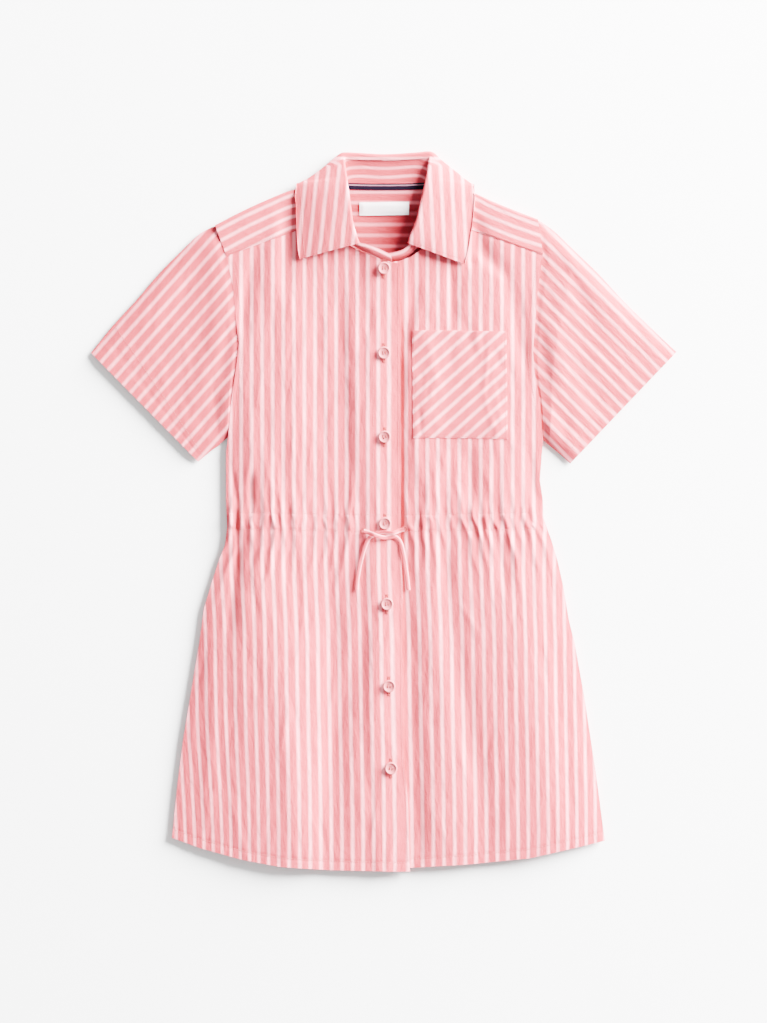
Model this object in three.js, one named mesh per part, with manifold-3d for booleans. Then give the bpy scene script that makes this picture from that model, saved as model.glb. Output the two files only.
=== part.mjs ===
// A child's short-sleeved shirt dress, laid out flat on its back with its buttons done up.
// Millimetres. X runs across the dress, towards the wearer's left. Y runs up from hem to collar.
// Z is up from the surface that the dress lies on. Sides are the wearer's, so "right" is at -X.

import * as THREE from 'three';
import { mergeVertices } from 'three/addons/utils/BufferGeometryUtils.js';
import Module from 'manifold-3d';

const wasm = await Module();
wasm.setup();

// Driving dimensions.
const CLOTH = 1.2;              // wall of one layer of cloth
const PLACKET_CLOTH = 1.5;      // the button band is folded double
const GAP = 0.35;               // between pieces that are sewn or lie together
const PLACKET_WIDTH = 28.5;     // button band, and how far the fronts lap
const PLACKET_RAMP = 11;        // over which the top front rises on to the lap
const CLEAR = 0.1;              // more than that where one piece follows the top of another
const LEAST_HEIGHT = 2.75;      // top of the front where it lies flat on the back
const GATHER_PITCH = 10.6;      // from one pucker at the waist to the next
const GATHER_DEPTH = 0.75;      // half of the height of a pucker
const COLLAR_LIFT = 1.65;       // the neck lies on the turned-down back of the collar
const YOKE_SEAM_Y = 236;        // back yoke seam
const SLEEVE_HEIGHT = 5.0;
const SLEEVE_HEM_FALL = 0.7;    // how much lower the sleeve is at its hem
const SLEEVE_EDGE_HEIGHT = 3.6; // at the folded edges of the sleeve
const SLEEVE_SEAM_EDGE = 4.4;   // and of their ends at the armhole
const SLEEVE_EDGE_SHARE = 0.008; // share of the sleeve's depth that its wall takes at an edge
const LEAF_CROWN = 0.018;       // rise of the collar leaf's middle for its width
const TIE_WIDTH = 5.0;
const TIE_THICKNESS = 1.5;
const BUTTON_DIAMETER = 12.5;

// Placket edge of the top front, from the neck down.
const PLACKET_EDGE = [
  { y: 248, x: 16 }, { y: -34, x: 16.5 }, { y: -72, x: 18.4 }, { y: -192, x: 19.2 },
  { y: -248, x: 20 }, { y: -292, x: 24 }, { y: -362, x: 26 },
];

// Side seams below the armpits, and the armholes above them, top first.
const RIGHT_ARMHOLE = [
  { x: -169, y: 286 }, { x: -157.5, y: 255 }, { x: -151, y: 225 }, { x: -148, y: 191 },
  { x: -145, y: 168 }, { x: -147.5, y: 146 }, { x: -152, y: 115 }, { x: -156, y: 74 },
];
const LEFT_ARMHOLE = [
  { x: 154, y: 292 }, { x: 159, y: 256 }, { x: 153.5, y: 218 }, { x: 151, y: 186 },
  { x: 149, y: 159 }, { x: 150.5, y: 138 }, { x: 156, y: 109 }, { x: 159, y: 71 },
];
const RIGHT_SIDE = [
  { y: 74, x: -156 }, { y: 59, x: -158 }, { y: 11, x: -158 }, { y: -16, x: -157 },
  { y: -34, x: -159 }, { y: -49, x: -165 }, { y: -69, x: -171.5 }, { y: -97, x: -180 },
  { y: -133, x: -185 }, { y: -181, x: -193 }, { y: -229, x: -201 }, { y: -277, x: -207 },
  { y: -327, x: -212 },
];
const LEFT_SIDE = [
  { y: 71, x: 159 }, { y: 31, x: 156 }, { y: 11, x: 159 }, { y: -7, x: 159.5 },
  { y: -29, x: 167.5 }, { y: -49, x: 173.5 }, { y: -73, x: 179 }, { y: -109, x: 185 },
  { y: -133, x: 191 }, { y: -189, x: 201 }, { y: -229, x: 207 }, { y: -269, x: 213 },
  { y: -330, x: 221 },
];

// Hems of the two fronts, and the waist casing's upper and lower stitch lines.
const RIGHT_HEM = [
  { x: -212, y: -327 }, { x: -184, y: -337 }, { x: -144, y: -348 }, { x: -104, y: -355.5 },
  { x: -54, y: -359 }, { x: 16, y: -360.4 }, { x: 27, y: -360.4 },
];
const LEFT_HEM = [
  { x: -3, y: -357.5 }, { x: 27, y: -356.7 }, { x: 86, y: -353 }, { x: 146, y: -347 },
  { x: 221, y: -330 },
];
const HEM_HEIGHT = -357;        // about where the hem is at the middle
const CASING_TOP = { side: -1, centre: -4 };
const CASING_BOTTOM = { side: -18, centre: -21 };

// Top edges of the fronts: the yoke seam is straight, then the neck seam follows.
const RIGHT_FRONT_TOP = [
  { x: -157.5, y: 255 }, { x: -58, y: 291 }, { x: -49.5, y: 276 }, { x: -36, y: 266.5 },
  { x: -26, y: 261 }, { x: -14, y: 255.5 }, { x: -4, y: 251.5 }, { x: 8, y: 248.5 },
  { x: 16, y: 247.5 },
];
const LEFT_FRONT_TOP = [
  { x: -13, y: 251 }, { x: 6, y: 248.5 }, { x: 16, y: 250 }, { x: 27, y: 254 },
  { x: 38, y: 262 }, { x: 50, y: 273 }, { x: 60, y: 291 }, { x: 159, y: 256 },
];

// Shoulder folds: where each section of the yoke turns, and where its front flap ends.
const RIGHT_SHOULDER = [
  { x: -58, y: 324.5, endX: -58, endY: 291 }, { x: -80, y: 322.3, endX: -80, endY: 283.04 },
  { x: -94, y: 320.5, endX: -94, endY: 277.97 }, { x: -118, y: 311, endX: -114, endY: 270.74 },
  { x: -144, y: 299, endX: -136, endY: 262.78 }, { x: -169, y: 286, endX: -157.5, endY: 255 },
];
const LEFT_SHOULDER = [
  { x: 58, y: 324.5, endX: 60, endY: 291 }, { x: 80, y: 321.5, endX: 80, endY: 283.93 },
  { x: 92, y: 317.5, endX: 92, endY: 279.69 }, { x: 107, y: 310.5, endX: 108, endY: 274.03 },
  { x: 134, y: 299.5, endX: 136, endY: 264.13 }, { x: 154, y: 292, endX: 159, endY: 256 },
];

// Each sleeve from armhole (along 0) to hem (along 1): its folded top edge and its underarm.
const RIGHT_SLEEVE = [
  { along: 0, topX: -169, topY: 286, underX: -156, underY: 74 },
  { along: 0.1, topX: -185, topY: 277, underX: -158.5, underY: 72 },
  { along: 0.22, topX: -200, topY: 263, underX: -162, underY: 69 },
  { along: 0.4, topX: -224, topY: 239, underX: -167, underY: 64.5 },
  { along: 0.6, topX: -248, topY: 211, underX: -174, underY: 59.5 },
  { along: 0.8, topX: -271, topY: 186, underX: -180, underY: 54.3 },
  { along: 0.94, topX: -286.7, topY: 166.6, underX: -184.2, underY: 50.9 },
  { along: 1, topX: -293.3, topY: 158.3, underX: -186, underY: 49.4 },
];
const LEFT_SLEEVE = [
  { along: 0, topX: 154, topY: 292, underX: 159, underY: 71 },
  { along: 0.1, topX: 171, topY: 279.5, underX: 161.5, underY: 69 },
  { along: 0.22, topX: 187, topY: 264, underX: 165, underY: 66 },
  { along: 0.4, topX: 213, topY: 239, underX: 170, underY: 62 },
  { along: 0.6, topX: 240, topY: 210, underX: 176, underY: 57 },
  { along: 0.8, topX: 266, topY: 184.5, underX: 181.5, underY: 52 },
  { along: 0.94, topX: 285, topY: 166.6, underX: 185, underY: 48.9 },
  { along: 1, topX: 292.8, topY: 159.2, underX: 186.5, underY: 47.6 },
];

// Collar stand from the front end on top, round the back, to the end below it.
// Each row is a section across the stand, from the neck seam to the fold.
const STAND = [
  { seamX: 8, seamY: 249, seamZ: 7.9, foldX: 7, foldY: 256, foldZ: 10.6 },
  { seamX: -4.5, seamY: 252.5, seamZ: 7.9, foldX: -5, foldY: 262, foldZ: 12.2 },
  { seamX: -14, seamY: 256.5, seamZ: 7.7, foldX: -17, foldY: 266.5, foldZ: 12.4 },
  { seamX: -25, seamY: 262, seamZ: 7.2, foldX: -27.5, foldY: 269.5, foldZ: 10.7 },
  { seamX: -35, seamY: 268, seamZ: 6.8, foldX: -31, foldY: 276, foldZ: 11.8 },
  { seamX: -47, seamY: 278, seamZ: 6.6, foldX: -34.5, foldY: 287, foldZ: 12.1 },
  { seamX: -54.5, seamY: 292, seamZ: 6.4, foldX: -36.6, foldY: 301.5, foldZ: 12.1 },
  { seamX: -56.5, seamY: 308, seamZ: 6.2, foldX: -38.8, foldY: 317.3, foldZ: 11.7 },
  { seamX: -56, seamY: 319, seamZ: 5.8, foldX: -40.5, foldY: 328, foldZ: 10.6 },
  { seamX: -53, seamY: 325.5, seamZ: 4.6, foldX: -42, foldY: 337, foldZ: 8.9 },
  { seamX: -44, seamY: 325.5, seamZ: 3.6, foldX: -42.5, foldY: 345.5, foldZ: 6.6 },
  { seamX: -36, seamY: 324.5, seamZ: 3.0, foldX: -39.5, foldY: 352.5, foldZ: 4.0 },
  { seamX: -26, seamY: 323.5, seamZ: 2.6, foldX: -27, foldY: 355, foldZ: 2.9 },
  { seamX: 2, seamY: 323, seamZ: 2.6, foldX: 2, foldY: 354, foldZ: 2.9 },
  { seamX: 28, seamY: 323.5, seamZ: 2.6, foldX: 32, foldY: 355.5, foldZ: 2.9 },
  { seamX: 38, seamY: 324.5, seamZ: 3.0, foldX: 44.5, foldY: 353, foldZ: 4.0 },
  { seamX: 46, seamY: 325.5, seamZ: 3.6, foldX: 48, foldY: 345.5, foldZ: 6.6 },
  { seamX: 55, seamY: 325.5, seamZ: 4.6, foldX: 47, foldY: 337, foldZ: 8.9 },
  { seamX: 56, seamY: 319, seamZ: 5.8, foldX: 45, foldY: 328, foldZ: 10.6 },
  { seamX: 57, seamY: 308, seamZ: 6.2, foldX: 42.5, foldY: 317.3, foldZ: 11.7 },
  { seamX: 56, seamY: 292, seamZ: 6.4, foldX: 39, foldY: 301.5, foldZ: 12.1 },
  { seamX: 47, seamY: 276, seamZ: 6.6, foldX: 34.5, foldY: 287, foldZ: 12.1 },
  { seamX: 36, seamY: 265.5, seamZ: 6.8, foldX: 30, foldY: 276, foldZ: 11.4 },
  { seamX: 28, seamY: 258.5, seamZ: 6.6, foldX: 26, foldY: 268, foldZ: 9.6 },
  { seamX: 22, seamY: 254, seamZ: 6.2, foldX: 19, foldY: 261.5, foldZ: 8.6 },
  { seamX: 19, seamY: 252, seamZ: 5.9, foldX: 15.5, foldY: 259, foldZ: 8.2 },
];

// Collar leaf, in sections from one point to the other. Each runs from its start at the stand's
// fold to its outermost line; under is where its free edge ends once it has turned underneath.
// turned is 0 where the leaf lies wholly on top and 1 where it has gone round.
const LEAF = [
  { x: -26.1, y: 267, z: 12.2, outX: -83.6, outY: 252, outZ: 7.2, turned: 0, underX: 0, underY: 0 },
  { x: -28.5, y: 274, z: 13.3, outX: -84.8, outY: 259, outZ: 7.2, turned: 0, underX: 0, underY: 0 },
  { x: -32, y: 286, z: 13.6, outX: -86, outY: 273, outZ: 7.0, turned: 0, underX: 0, underY: 0 },
  { x: -34.2, y: 301, z: 13.6, outX: -86.8, outY: 289, outZ: 6.9, turned: 0, underX: 0, underY: 0 },
  { x: -36.4, y: 317, z: 13.2, outX: -87.3, outY: 306, outZ: 6.8, turned: 0, underX: 0, underY: 0 },
  { x: -37.6, y: 325, z: 12.5, outX: -88.2, outY: 315, outZ: 6.7, turned: 0, underX: 0, underY: 0 },
  { x: -38.2, y: 330, z: 11.7, outX: -87, outY: 325.5, outZ: 5.6, turned: 0, underX: 0, underY: 0 },
  { x: -38.7, y: 334, z: 11.0, outX: -83, outY: 329, outZ: 4.8, turned: 1, underX: -82, underY: 327 },
  { x: -39.5, y: 339, z: 10.1, outX: -77, outY: 332, outZ: 4.8, turned: 1, underX: -71, underY: 317 },
  { x: -40.2, y: 345, z: 8.6, outX: -64, outY: 341.2, outZ: 4.7, turned: 1, underX: -58, underY: 311 },
  { x: -40.6, y: 350, z: 7.0, outX: -52.5, outY: 351, outZ: 4.6, turned: 1, underX: -47, underY: 310 },
  { x: -40, y: 353, z: 5.8, outX: -44.5, outY: 357.5, outZ: 4.5, turned: 1, underX: -38, underY: 310 },
  { x: -36, y: 353.2, z: 5.0, outX: -39, outY: 359, outZ: 4.4, turned: 1, underX: -32, underY: 310 },
  { x: -27, y: 352.9, z: 4.7, outX: -27, outY: 358.6, outZ: 4.3, turned: 1, underX: -23, underY: 310 },
  { x: 2, y: 352.2, z: 4.7, outX: 2, outY: 357.2, outZ: 4.3, turned: 1, underX: 2, underY: 310 },
  { x: 32, y: 353.6, z: 4.7, outX: 32, outY: 359, outZ: 4.3, turned: 1, underX: 27, underY: 310 },
  { x: 42, y: 353.9, z: 5.0, outX: 45, outY: 360, outZ: 4.4, turned: 1, underX: 37, underY: 310 },
  { x: 46, y: 353.5, z: 5.8, outX: 51, outY: 357.8, outZ: 4.5, turned: 1, underX: 44, underY: 310 },
  { x: 46, y: 350, z: 7.0, outX: 58, outY: 351, outZ: 4.6, turned: 1, underX: 52, underY: 310 },
  { x: 45.3, y: 345, z: 8.6, outX: 69, outY: 342, outZ: 4.7, turned: 1, underX: 63, underY: 311 },
  { x: 44.5, y: 339, z: 10.1, outX: 79.5, outY: 333.5, outZ: 4.8, turned: 1, underX: 74, underY: 317 },
  { x: 43.5, y: 334, z: 11.0, outX: 86, outY: 328.5, outZ: 4.8, turned: 1, underX: 85, underY: 326.5 },
  { x: 42.7, y: 330, z: 11.7, outX: 89.5, outY: 324.5, outZ: 5.6, turned: 0, underX: 0, underY: 0 },
  { x: 41.8, y: 325, z: 12.5, outX: 90, outY: 315, outZ: 6.7, turned: 0, underX: 0, underY: 0 },
  { x: 40, y: 317, z: 13.2, outX: 89.6, outY: 306, outZ: 6.8, turned: 0, underX: 0, underY: 0 },
  { x: 36.5, y: 301, z: 13.6, outX: 88, outY: 289, outZ: 6.9, turned: 0, underX: 0, underY: 0 },
  { x: 32, y: 286, z: 13.6, outX: 85.5, outY: 273, outZ: 7.0, turned: 0, underX: 0, underY: 0 },
  { x: 27.5, y: 274, z: 12.9, outX: 83, outY: 258, outZ: 7.2, turned: 0, underX: 0, underY: 0 },
  { x: 25, y: 267, z: 11.4, outX: 80, outY: 247, outZ: 7.2, turned: 0, underX: 0, underY: 0 },
];

// Height of the fronts' top at the armholes and side seams.
const SIDE_HEIGHTS = [
  { y: 290, z: 4.6 }, { y: 130, z: 5.6 }, { y: 92, z: 4.9 }, { y: 62, z: 3.9 }, { y: 40, z: 3.6 },
  { y: -358, z: 3.6 },
];

// The drape: crests and hollows that run down the fronts, from the wearer's right to the left. Each
// has its place across and its height where it passes the heights on the dress of DRAPE_Y. bend is
// how round the cloth is between the last line and this one, 1 for straight.
const DRAPE_Y = [255, 141, 61, 10, -33, -88, -168, -258, -350];
const DRAPE = [
  {
    name: 'right side slope',
    bend: 1,
    x: [-134, -130, -134, -132, -131, -142, -141, -138, -134],
    z: [5.2, 6.2, 6.6, 6.0, 7.4, 8.8, 10.0, 9.8, 7.4],
  },
  {
    name: 'right crest',
    bend: 1.6,
    x: [-110, -97, -97, -108, -115, -117, -108, -95, -88],
    z: [5.3, 7.0, 7.2, 6.6, 8.4, 10.2, 12.0, 12.0, 9.0],
  },
  {
    name: 'right hollow',
    bend: 1.8,
    x: [-72, -62, -63, -58, -56, -55, -52, -55, -58],
    z: [4.9, 5.2, 5.2, 5.0, 5.6, 6.2, 6.8, 6.8, 5.6],
  },
  {
    name: 'crest beside the placket',
    bend: 1.5,
    x: [-34, -30, -26, -22, -16, -12, -7, -22, -22],
    z: [5.1, 6.9, 6.6, 6.2, 7.0, 8.0, 8.8, 8.6, 7.0],
  },
  {
    name: 'hollow at the placket edge',
    bend: 1.5,
    x: [12, 16, 16, 16, 17, 17.5, 18.4, 19.6, 24],
    z: [5.0, 4.5, 4.5, 4.7, 5.0, 5.2, 5.6, 5.6, 5.0],
  },
  {
    name: 'crest of the left front',
    bend: 1.5,
    x: [26, 40, 44, 46, 48, 50, 58, 62, 66],
    z: [5.1, 5.8, 6.2, 6.0, 7.6, 8.6, 9.2, 9.4, 7.6],
  },
  {
    name: 'left hollow',
    bend: 1.5,
    x: [50, 66, 62, 60, 60, 62, 74, 93, 102],
    z: [5.0, 5.5, 5.2, 5.3, 6.6, 7.4, 7.6, 7.4, 6.2],
  },
  {
    name: 'left crest',
    bend: 1.3,
    x: [112, 114, 112, 112, 116, 124, 140, 156, 162],
    z: [5.5, 6.8, 6.8, 6.2, 8.0, 9.4, 10.2, 10.0, 7.8],
  },
];
const LEFT_SIDE_BEND = 1.6;

// Smaller folds on it: soft troughs (rise below 0) along straight lines.
const FOLDS = [
  { x0: -97, y0: 305, x1: -100, y1: 215, rise: -0.7, width: 7 },    // beside the right collar leaf
  { x0: -134, y0: 252, x1: -141, y1: 180, rise: -0.9, width: 6 },   // from the right shoulder
  { x0: -44, y0: 235, x1: -34, y1: 31, rise: -0.6, width: 9 },      // down the right chest
  { x0: 31, y0: 210, x1: 20, y1: 151, rise: -0.6, width: 6 },       // down to the lap
  { x0: 68, y0: 238, x1: 68, y1: 190, rise: -0.6, width: 6 },       // from the collar to the pocket
  { x0: 86, y0: 272, x1: 127, y1: 230, rise: -0.9, width: 6 },      // from the left shoulder
  { x0: 128, y0: 240, x1: 144, y1: 131, rise: -0.7, width: 7 },     // along the left armhole
  { x0: 146, y0: 70, x1: 152, y1: 11, rise: -0.6, width: 7 },       // into the waist at the left
  { x0: -146, y0: 11, x1: -146, y1: -49, rise: -0.7, width: 6 },    // out of the waist at the right
];

const BUTTON_PLACES = [
  { x: 0, y: 242.5 }, { x: 0, y: 158 }, { x: 0.5, y: 74 }, { x: 1, y: -12.5 },
  { x: 3, y: -93 }, { x: 5, y: -175 }, { x: 7, y: -257 },
];
const POCKET = { left: 28, right: 122.5, top: 180, bottom: 72.5 };
const TAPE = { left: -37.5, right: 40, bottom: 322, top: 328.5, thickness: 0.8 };
const LABEL = { left: -24.4, right: 25, bottom: 296, top: 309, thickness: 0.8 };

// The tie's two ends. Each comes out of its own eyelet, goes half round the other and hangs down
// to a bare end. rise is the height of the tie's middle above what it lies on.
const TIE_FROM_RIGHT = [
  { x: -20.5, y: -20, rise: 1.3 }, { x: -15.5, y: -21.5, rise: 2.2 }, { x: -10, y: -23.7, rise: 4.2 },
  { x: -5, y: -25.6, rise: 3.7 }, { x: 0, y: -26.6, rise: 2.7 }, { x: 5, y: -26.2, rise: 1.7 },
  { x: 10, y: -25.6, rise: 1.3 }, { x: 14, y: -27.8, rise: 1.3 }, { x: 17, y: -33, rise: 1.3 },
  { x: 19, y: -41.5, rise: 1.3 }, { x: 21, y: -53, rise: 1.3 }, { x: 23, y: -66, rise: 1.3 },
  { x: 24.5, y: -79, rise: 1.3 },
];
const TIE_FROM_LEFT = [
  { x: 20, y: -18.4, rise: 1.5 }, { x: 15, y: -19.8, rise: 2.4 }, { x: 10, y: -21.7, rise: 4.2 },
  { x: 5, y: -21.6, rise: 3.8 }, { x: 0, y: -21.4, rise: 2.7 }, { x: -5, y: -21.9, rise: 1.7 },
  { x: -10, y: -23.8, rise: 1.3 }, { x: -15, y: -27.4, rise: 1.3 }, { x: -18.5, y: -34, rise: 1.3 },
  { x: -21.5, y: -43.5, rise: 1.3 }, { x: -24.5, y: -56, rise: 1.3 }, { x: -26.5, y: -68, rise: 1.3 },
  { x: -27.5, y: -79, rise: 1.3 },
];

const COLOURS = { cloth: 0xf3b4b8, button: 0xee7f86, tape: 0x2a2438, label: 0xf4f2f3 };

const mix = THREE.MathUtils.lerp;
const clamp = THREE.MathUtils.clamp;
const ease = (from, to, value) => {
  const t = clamp((value - from) / (to - from), 0, 1);
  return t * t * (3 - 2 * t);
};

// Value of column "out" of a table at the place where column "by" is equal to value.
function lookUp(rows, by, out, value) {
  const rising = rows[rows.length - 1][by] > rows[0][by];
  let i = 0;
  while (i < rows.length - 2 && (rising ? value > rows[i + 1][by] : value < rows[i + 1][by])) i += 1;
  const t = clamp((value - rows[i][by]) / (rows[i + 1][by] - rows[i][by]), 0, 1);
  return mix(rows[i][out], rows[i + 1][out], t);
}

// Outer edges of the body at a height up the dress.
function rightEdge(y) {
  return y > RIGHT_SIDE[0].y ? lookUp(RIGHT_ARMHOLE, 'y', 'x', y) : lookUp(RIGHT_SIDE, 'y', 'x', y);
}
function leftEdge(y) {
  return y > LEFT_SIDE[0].y ? lookUp(LEFT_ARMHOLE, 'y', 'x', y) : lookUp(LEFT_SIDE, 'y', 'x', y);
}

function foldRise(fold, x, y) {
  const length = Math.hypot(fold.x1 - fold.x0, fold.y1 - fold.y0);
  const ux = (fold.x1 - fold.x0) / length;
  const uy = (fold.y1 - fold.y0) / length;
  const along = (x - fold.x0) * ux + (y - fold.y0) * uy;
  const aside = (x - fold.x0) * uy - (y - fold.y0) * ux;
  const taper = length * 0.3;
  const fade = ease(-taper * 0.4, taper, along) * ease(length + taper * 0.4, length - taper, along);
  return fold.rise * fade * Math.exp(-((aside / fold.width) ** 2));
}

// Value at a height up the dress, given the values at DRAPE_Y.
function alongDrape(values, y) {
  let i = 0;
  while (i < DRAPE_Y.length - 2 && y < DRAPE_Y[i + 1]) i += 1;
  return mix(values[i], values[i + 1], clamp((DRAPE_Y[i] - y) / (DRAPE_Y[i] - DRAPE_Y[i + 1]), 0, 1));
}

function drapeHeight(x, y) {
  const side = lookUp(SIDE_HEIGHTS, 'y', 'z', y);
  const lines = DRAPE.map(({ bend, x: places, z }) => (
    { bend, x: alongDrape(places, y), z: alongDrape(z, y) }
  ));
  lines.push({ bend: LEFT_SIDE_BEND, x: leftEdge(y), z: side });
  let last = { x: rightEdge(y), z: side };
  let height = side;
  for (const line of lines) {
    const t = clamp((x - last.x) / (line.x - last.x), 0, 1);
    const rise = line.z - last.z;
    height += rise * (rise > 0 ? 1 - (1 - t) ** line.bend : t ** line.bend);
    last = line;
  }
  return height;
}

// Height of the top of the fronts and of the yoke's flaps, before the lap and the gathers.
function frontTop(x, y) {
  let height = drapeHeight(x, y);
  for (const fold of FOLDS) height += foldRise(fold, x, y);
  return Math.max(height, LEAST_HEIGHT);
}

// How far the top front is raised by the front that it laps over.
function lapRise(x, y) {
  const inner = lookUp(PLACKET_EDGE, 'y', 'x', y) - PLACKET_WIDTH - 1;
  return (PLACKET_CLOTH + GAP + CLEAR) * ease(inner - PLACKET_RAMP, inner, x);
}

function topFrontTop(x, y) {
  return frontTop(x, y) + lapRise(x, y);
}

// Height under the yoke and back, which lie on the collar's turned-down back near the neck.
function backLift(x, y) {
  return COLLAR_LIFT * (1 - ease(92, 116, Math.abs(x))) * ease(294, 307, y);
}

// Closed solid between two grids of points of the same size.
function slab(top, bottom) {
  const rows = top.length;
  const cols = top[0].length;
  const positions = [];
  for (const grid of [top, bottom]) {
    for (const row of grid) for (const p of row) positions.push(p.x, p.y, p.z);
  }
  const upper = (i, j) => i * cols + j;
  const lower = (i, j) => rows * cols + i * cols + j;
  const index = [];
  const quad = (a, b, c, d) => index.push(a, b, c, a, c, d);
  for (let i = 0; i < rows - 1; i += 1) {
    for (let j = 0; j < cols - 1; j += 1) {
      quad(upper(i, j), upper(i, j + 1), upper(i + 1, j + 1), upper(i + 1, j));
      quad(lower(i, j), lower(i + 1, j), lower(i + 1, j + 1), lower(i, j + 1));
    }
  }
  for (let j = 0; j < cols - 1; j += 1) {
    quad(upper(0, j + 1), upper(0, j), lower(0, j), lower(0, j + 1));
    quad(upper(rows - 1, j), upper(rows - 1, j + 1), lower(rows - 1, j + 1), lower(rows - 1, j));
  }
  for (let i = 0; i < rows - 1; i += 1) {
    quad(upper(i, 0), upper(i + 1, 0), lower(i + 1, 0), lower(i, 0));
    quad(upper(i + 1, cols - 1), upper(i, cols - 1), lower(i, cols - 1), lower(i + 1, cols - 1));
  }
  return facingOut(positions, index);
}

// Closed wall between an outer and an inner grid whose columns run round and join up.
function tubeWall(outer, inner) {
  const rows = outer.length;
  const cols = outer[0].length;
  const positions = [];
  for (const grid of [outer, inner]) {
    for (const row of grid) for (const p of row) positions.push(p.x, p.y, p.z);
  }
  const out = (i, j) => i * cols + (j % cols);
  const inn = (i, j) => rows * cols + i * cols + (j % cols);
  const index = [];
  const quad = (a, b, c, d) => index.push(a, b, c, a, c, d);
  for (let j = 0; j < cols; j += 1) {
    for (let i = 0; i < rows - 1; i += 1) {
      quad(out(i, j), out(i, j + 1), out(i + 1, j + 1), out(i + 1, j));
      quad(inn(i, j), inn(i + 1, j), inn(i + 1, j + 1), inn(i, j + 1));
    }
    quad(out(0, j + 1), out(0, j), inn(0, j), inn(0, j + 1));
    quad(out(rows - 1, j), out(rows - 1, j + 1), inn(rows - 1, j + 1), inn(rows - 1, j));
  }
  return facingOut(positions, index);
}

// Geometry with its faces turned outwards, whichever way round the grids ran.
function facingOut(positions, index) {
  let volume = 0;
  const a = new THREE.Vector3();
  const b = new THREE.Vector3();
  const c = new THREE.Vector3();
  for (let k = 0; k < index.length; k += 3) {
    a.fromArray(positions, index[k] * 3);
    b.fromArray(positions, index[k + 1] * 3);
    c.fromArray(positions, index[k + 2] * 3);
    volume += a.dot(b.cross(c));
  }
  if (volume < 0) {
    for (let k = 0; k < index.length; k += 3) [index[k], index[k + 1]] = [index[k + 1], index[k]];
  }
  const geometry = new THREE.BufferGeometry();
  geometry.setAttribute('position', new THREE.Float32BufferAttribute(positions, 3));
  geometry.setIndex(index);
  return geometry;
}

// Solid of a closed geometry, for joining and cutting.
function toSolid(geometry) {
  const bare = geometry.clone();
  bare.deleteAttribute('normal');
  bare.deleteAttribute('uv');
  const merged = mergeVertices(bare, 1e-4);
  const mesh = new wasm.Mesh({
    numProp: 3,
    vertProperties: new Float32Array(merged.attributes.position.array),
    triVerts: new Uint32Array(merged.index.array),
  });
  return new wasm.Manifold(mesh);
}

function fromSolid(solid) {
  const mesh = solid.getMesh();
  const geometry = new THREE.BufferGeometry();
  geometry.setAttribute('position', new THREE.BufferAttribute(mesh.vertProperties, 3));
  geometry.setIndex(new THREE.BufferAttribute(mesh.triVerts, 1));
  return geometry;
}

const dress = new THREE.Group();
const materials = {
  cloth: new THREE.MeshStandardMaterial({ color: COLOURS.cloth, roughness: 0.9, metalness: 0 }),
  button: new THREE.MeshStandardMaterial({ color: COLOURS.button, roughness: 0.35, metalness: 0 }),
  tape: new THREE.MeshStandardMaterial({ color: COLOURS.tape, roughness: 0.85, metalness: 0 }),
  label: new THREE.MeshStandardMaterial({ color: COLOURS.label, roughness: 0.6, metalness: 0 }),
};

function addPiece(name, geometry, material) {
  const mesh = new THREE.Mesh(geometry, material);
  mesh.name = name;
  dress.add(mesh);
}

// Heights on the dress at which a front's rows lie: at the corners of both armholes, so that the
// fronts fit each other in the lap, then evenly to the casing, close together round it, and further
// apart down the skirt. Given at the side seam.
function frontRows(sideTop) {
  const corners = [...RIGHT_ARMHOLE.slice(2), ...LEFT_ARMHOLE.slice(2)].map((p) => p.y);
  const bodice = [sideTop.y, ...corners.sort((a, b) => b - a), 48, 24, 8];
  const casing = [CASING_TOP.side, (CASING_TOP.side + CASING_BOTTOM.side) / 2, CASING_BOTTOM.side];
  const skirt = [0.03, 0.08, 0.16, 0.28, 0.42, 0.56, 0.7, 0.84, 0.96, 1];
  return { bodice, casing, skirt };
}

// Grid of plan points of a front, from its top edge to its hem. columns gives the places across
// at the waist. All the way down, a column in the lap keeps its distance from the inner edge, so
// that both fronts have the same columns there, and the others keep their share of the rest.
function frontPlan({ armhole, topEdge, hem, sideX, innerX, columns }) {
  const sideTop = armhole[1];
  const rows = frontRows(sideTop);
  const waistSide = sideX(CASING_TOP.side);
  const waistInner = innerX(CASING_TOP.centre);
  const lap = Math.sign(waistSide - waistInner) * (PLACKET_WIDTH + PLACKET_RAMP + 1);
  const plan = columns.map((x) => {
    const fromInner = x - waistInner;
    const inLap = Math.abs(fromInner) <= Math.abs(lap);
    const share = (x - waistSide) / (waistInner + lap - waistSide);
    const beside = (y) => mix(sideX(Math.min(y, sideTop.y)), innerX(y) + lap, share);
    return {
      at: (y) => (inLap ? innerX(y) + fromInner : beside(y)),
      down: (line) => mix(line.side, line.centre, clamp((x - waistSide) / (waistInner - waistSide), 0, 1)),
    };
  });
  const grid = [];
  const pushRow = (heightOf) => {
    grid.push(plan.map((column) => {
      const y = heightOf(column);
      return { x: column.at(y), y };
    }));
  };
  for (const y of rows.bodice) {
    const share = (sideTop.y - y) / (sideTop.y - CASING_TOP.side);
    pushRow((column) => {
      const top = lookUp(topEdge, 'x', 'y', column.at(sideTop.y));
      return mix(top, column.down(CASING_TOP), share);
    });
  }
  for (const y of rows.casing) {
    const share = (CASING_TOP.side - y) / (CASING_TOP.side - CASING_BOTTOM.side);
    pushRow((column) => mix(column.down(CASING_TOP), column.down(CASING_BOTTOM), share));
  }
  for (const share of rows.skirt) {
    pushRow((column) => {
      const end = lookUp(hem, 'x', 'y', column.at(HEM_HEIGHT));
      return mix(column.down(CASING_BOTTOM), end, share);
    });
  }
  return grid;
}

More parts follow.
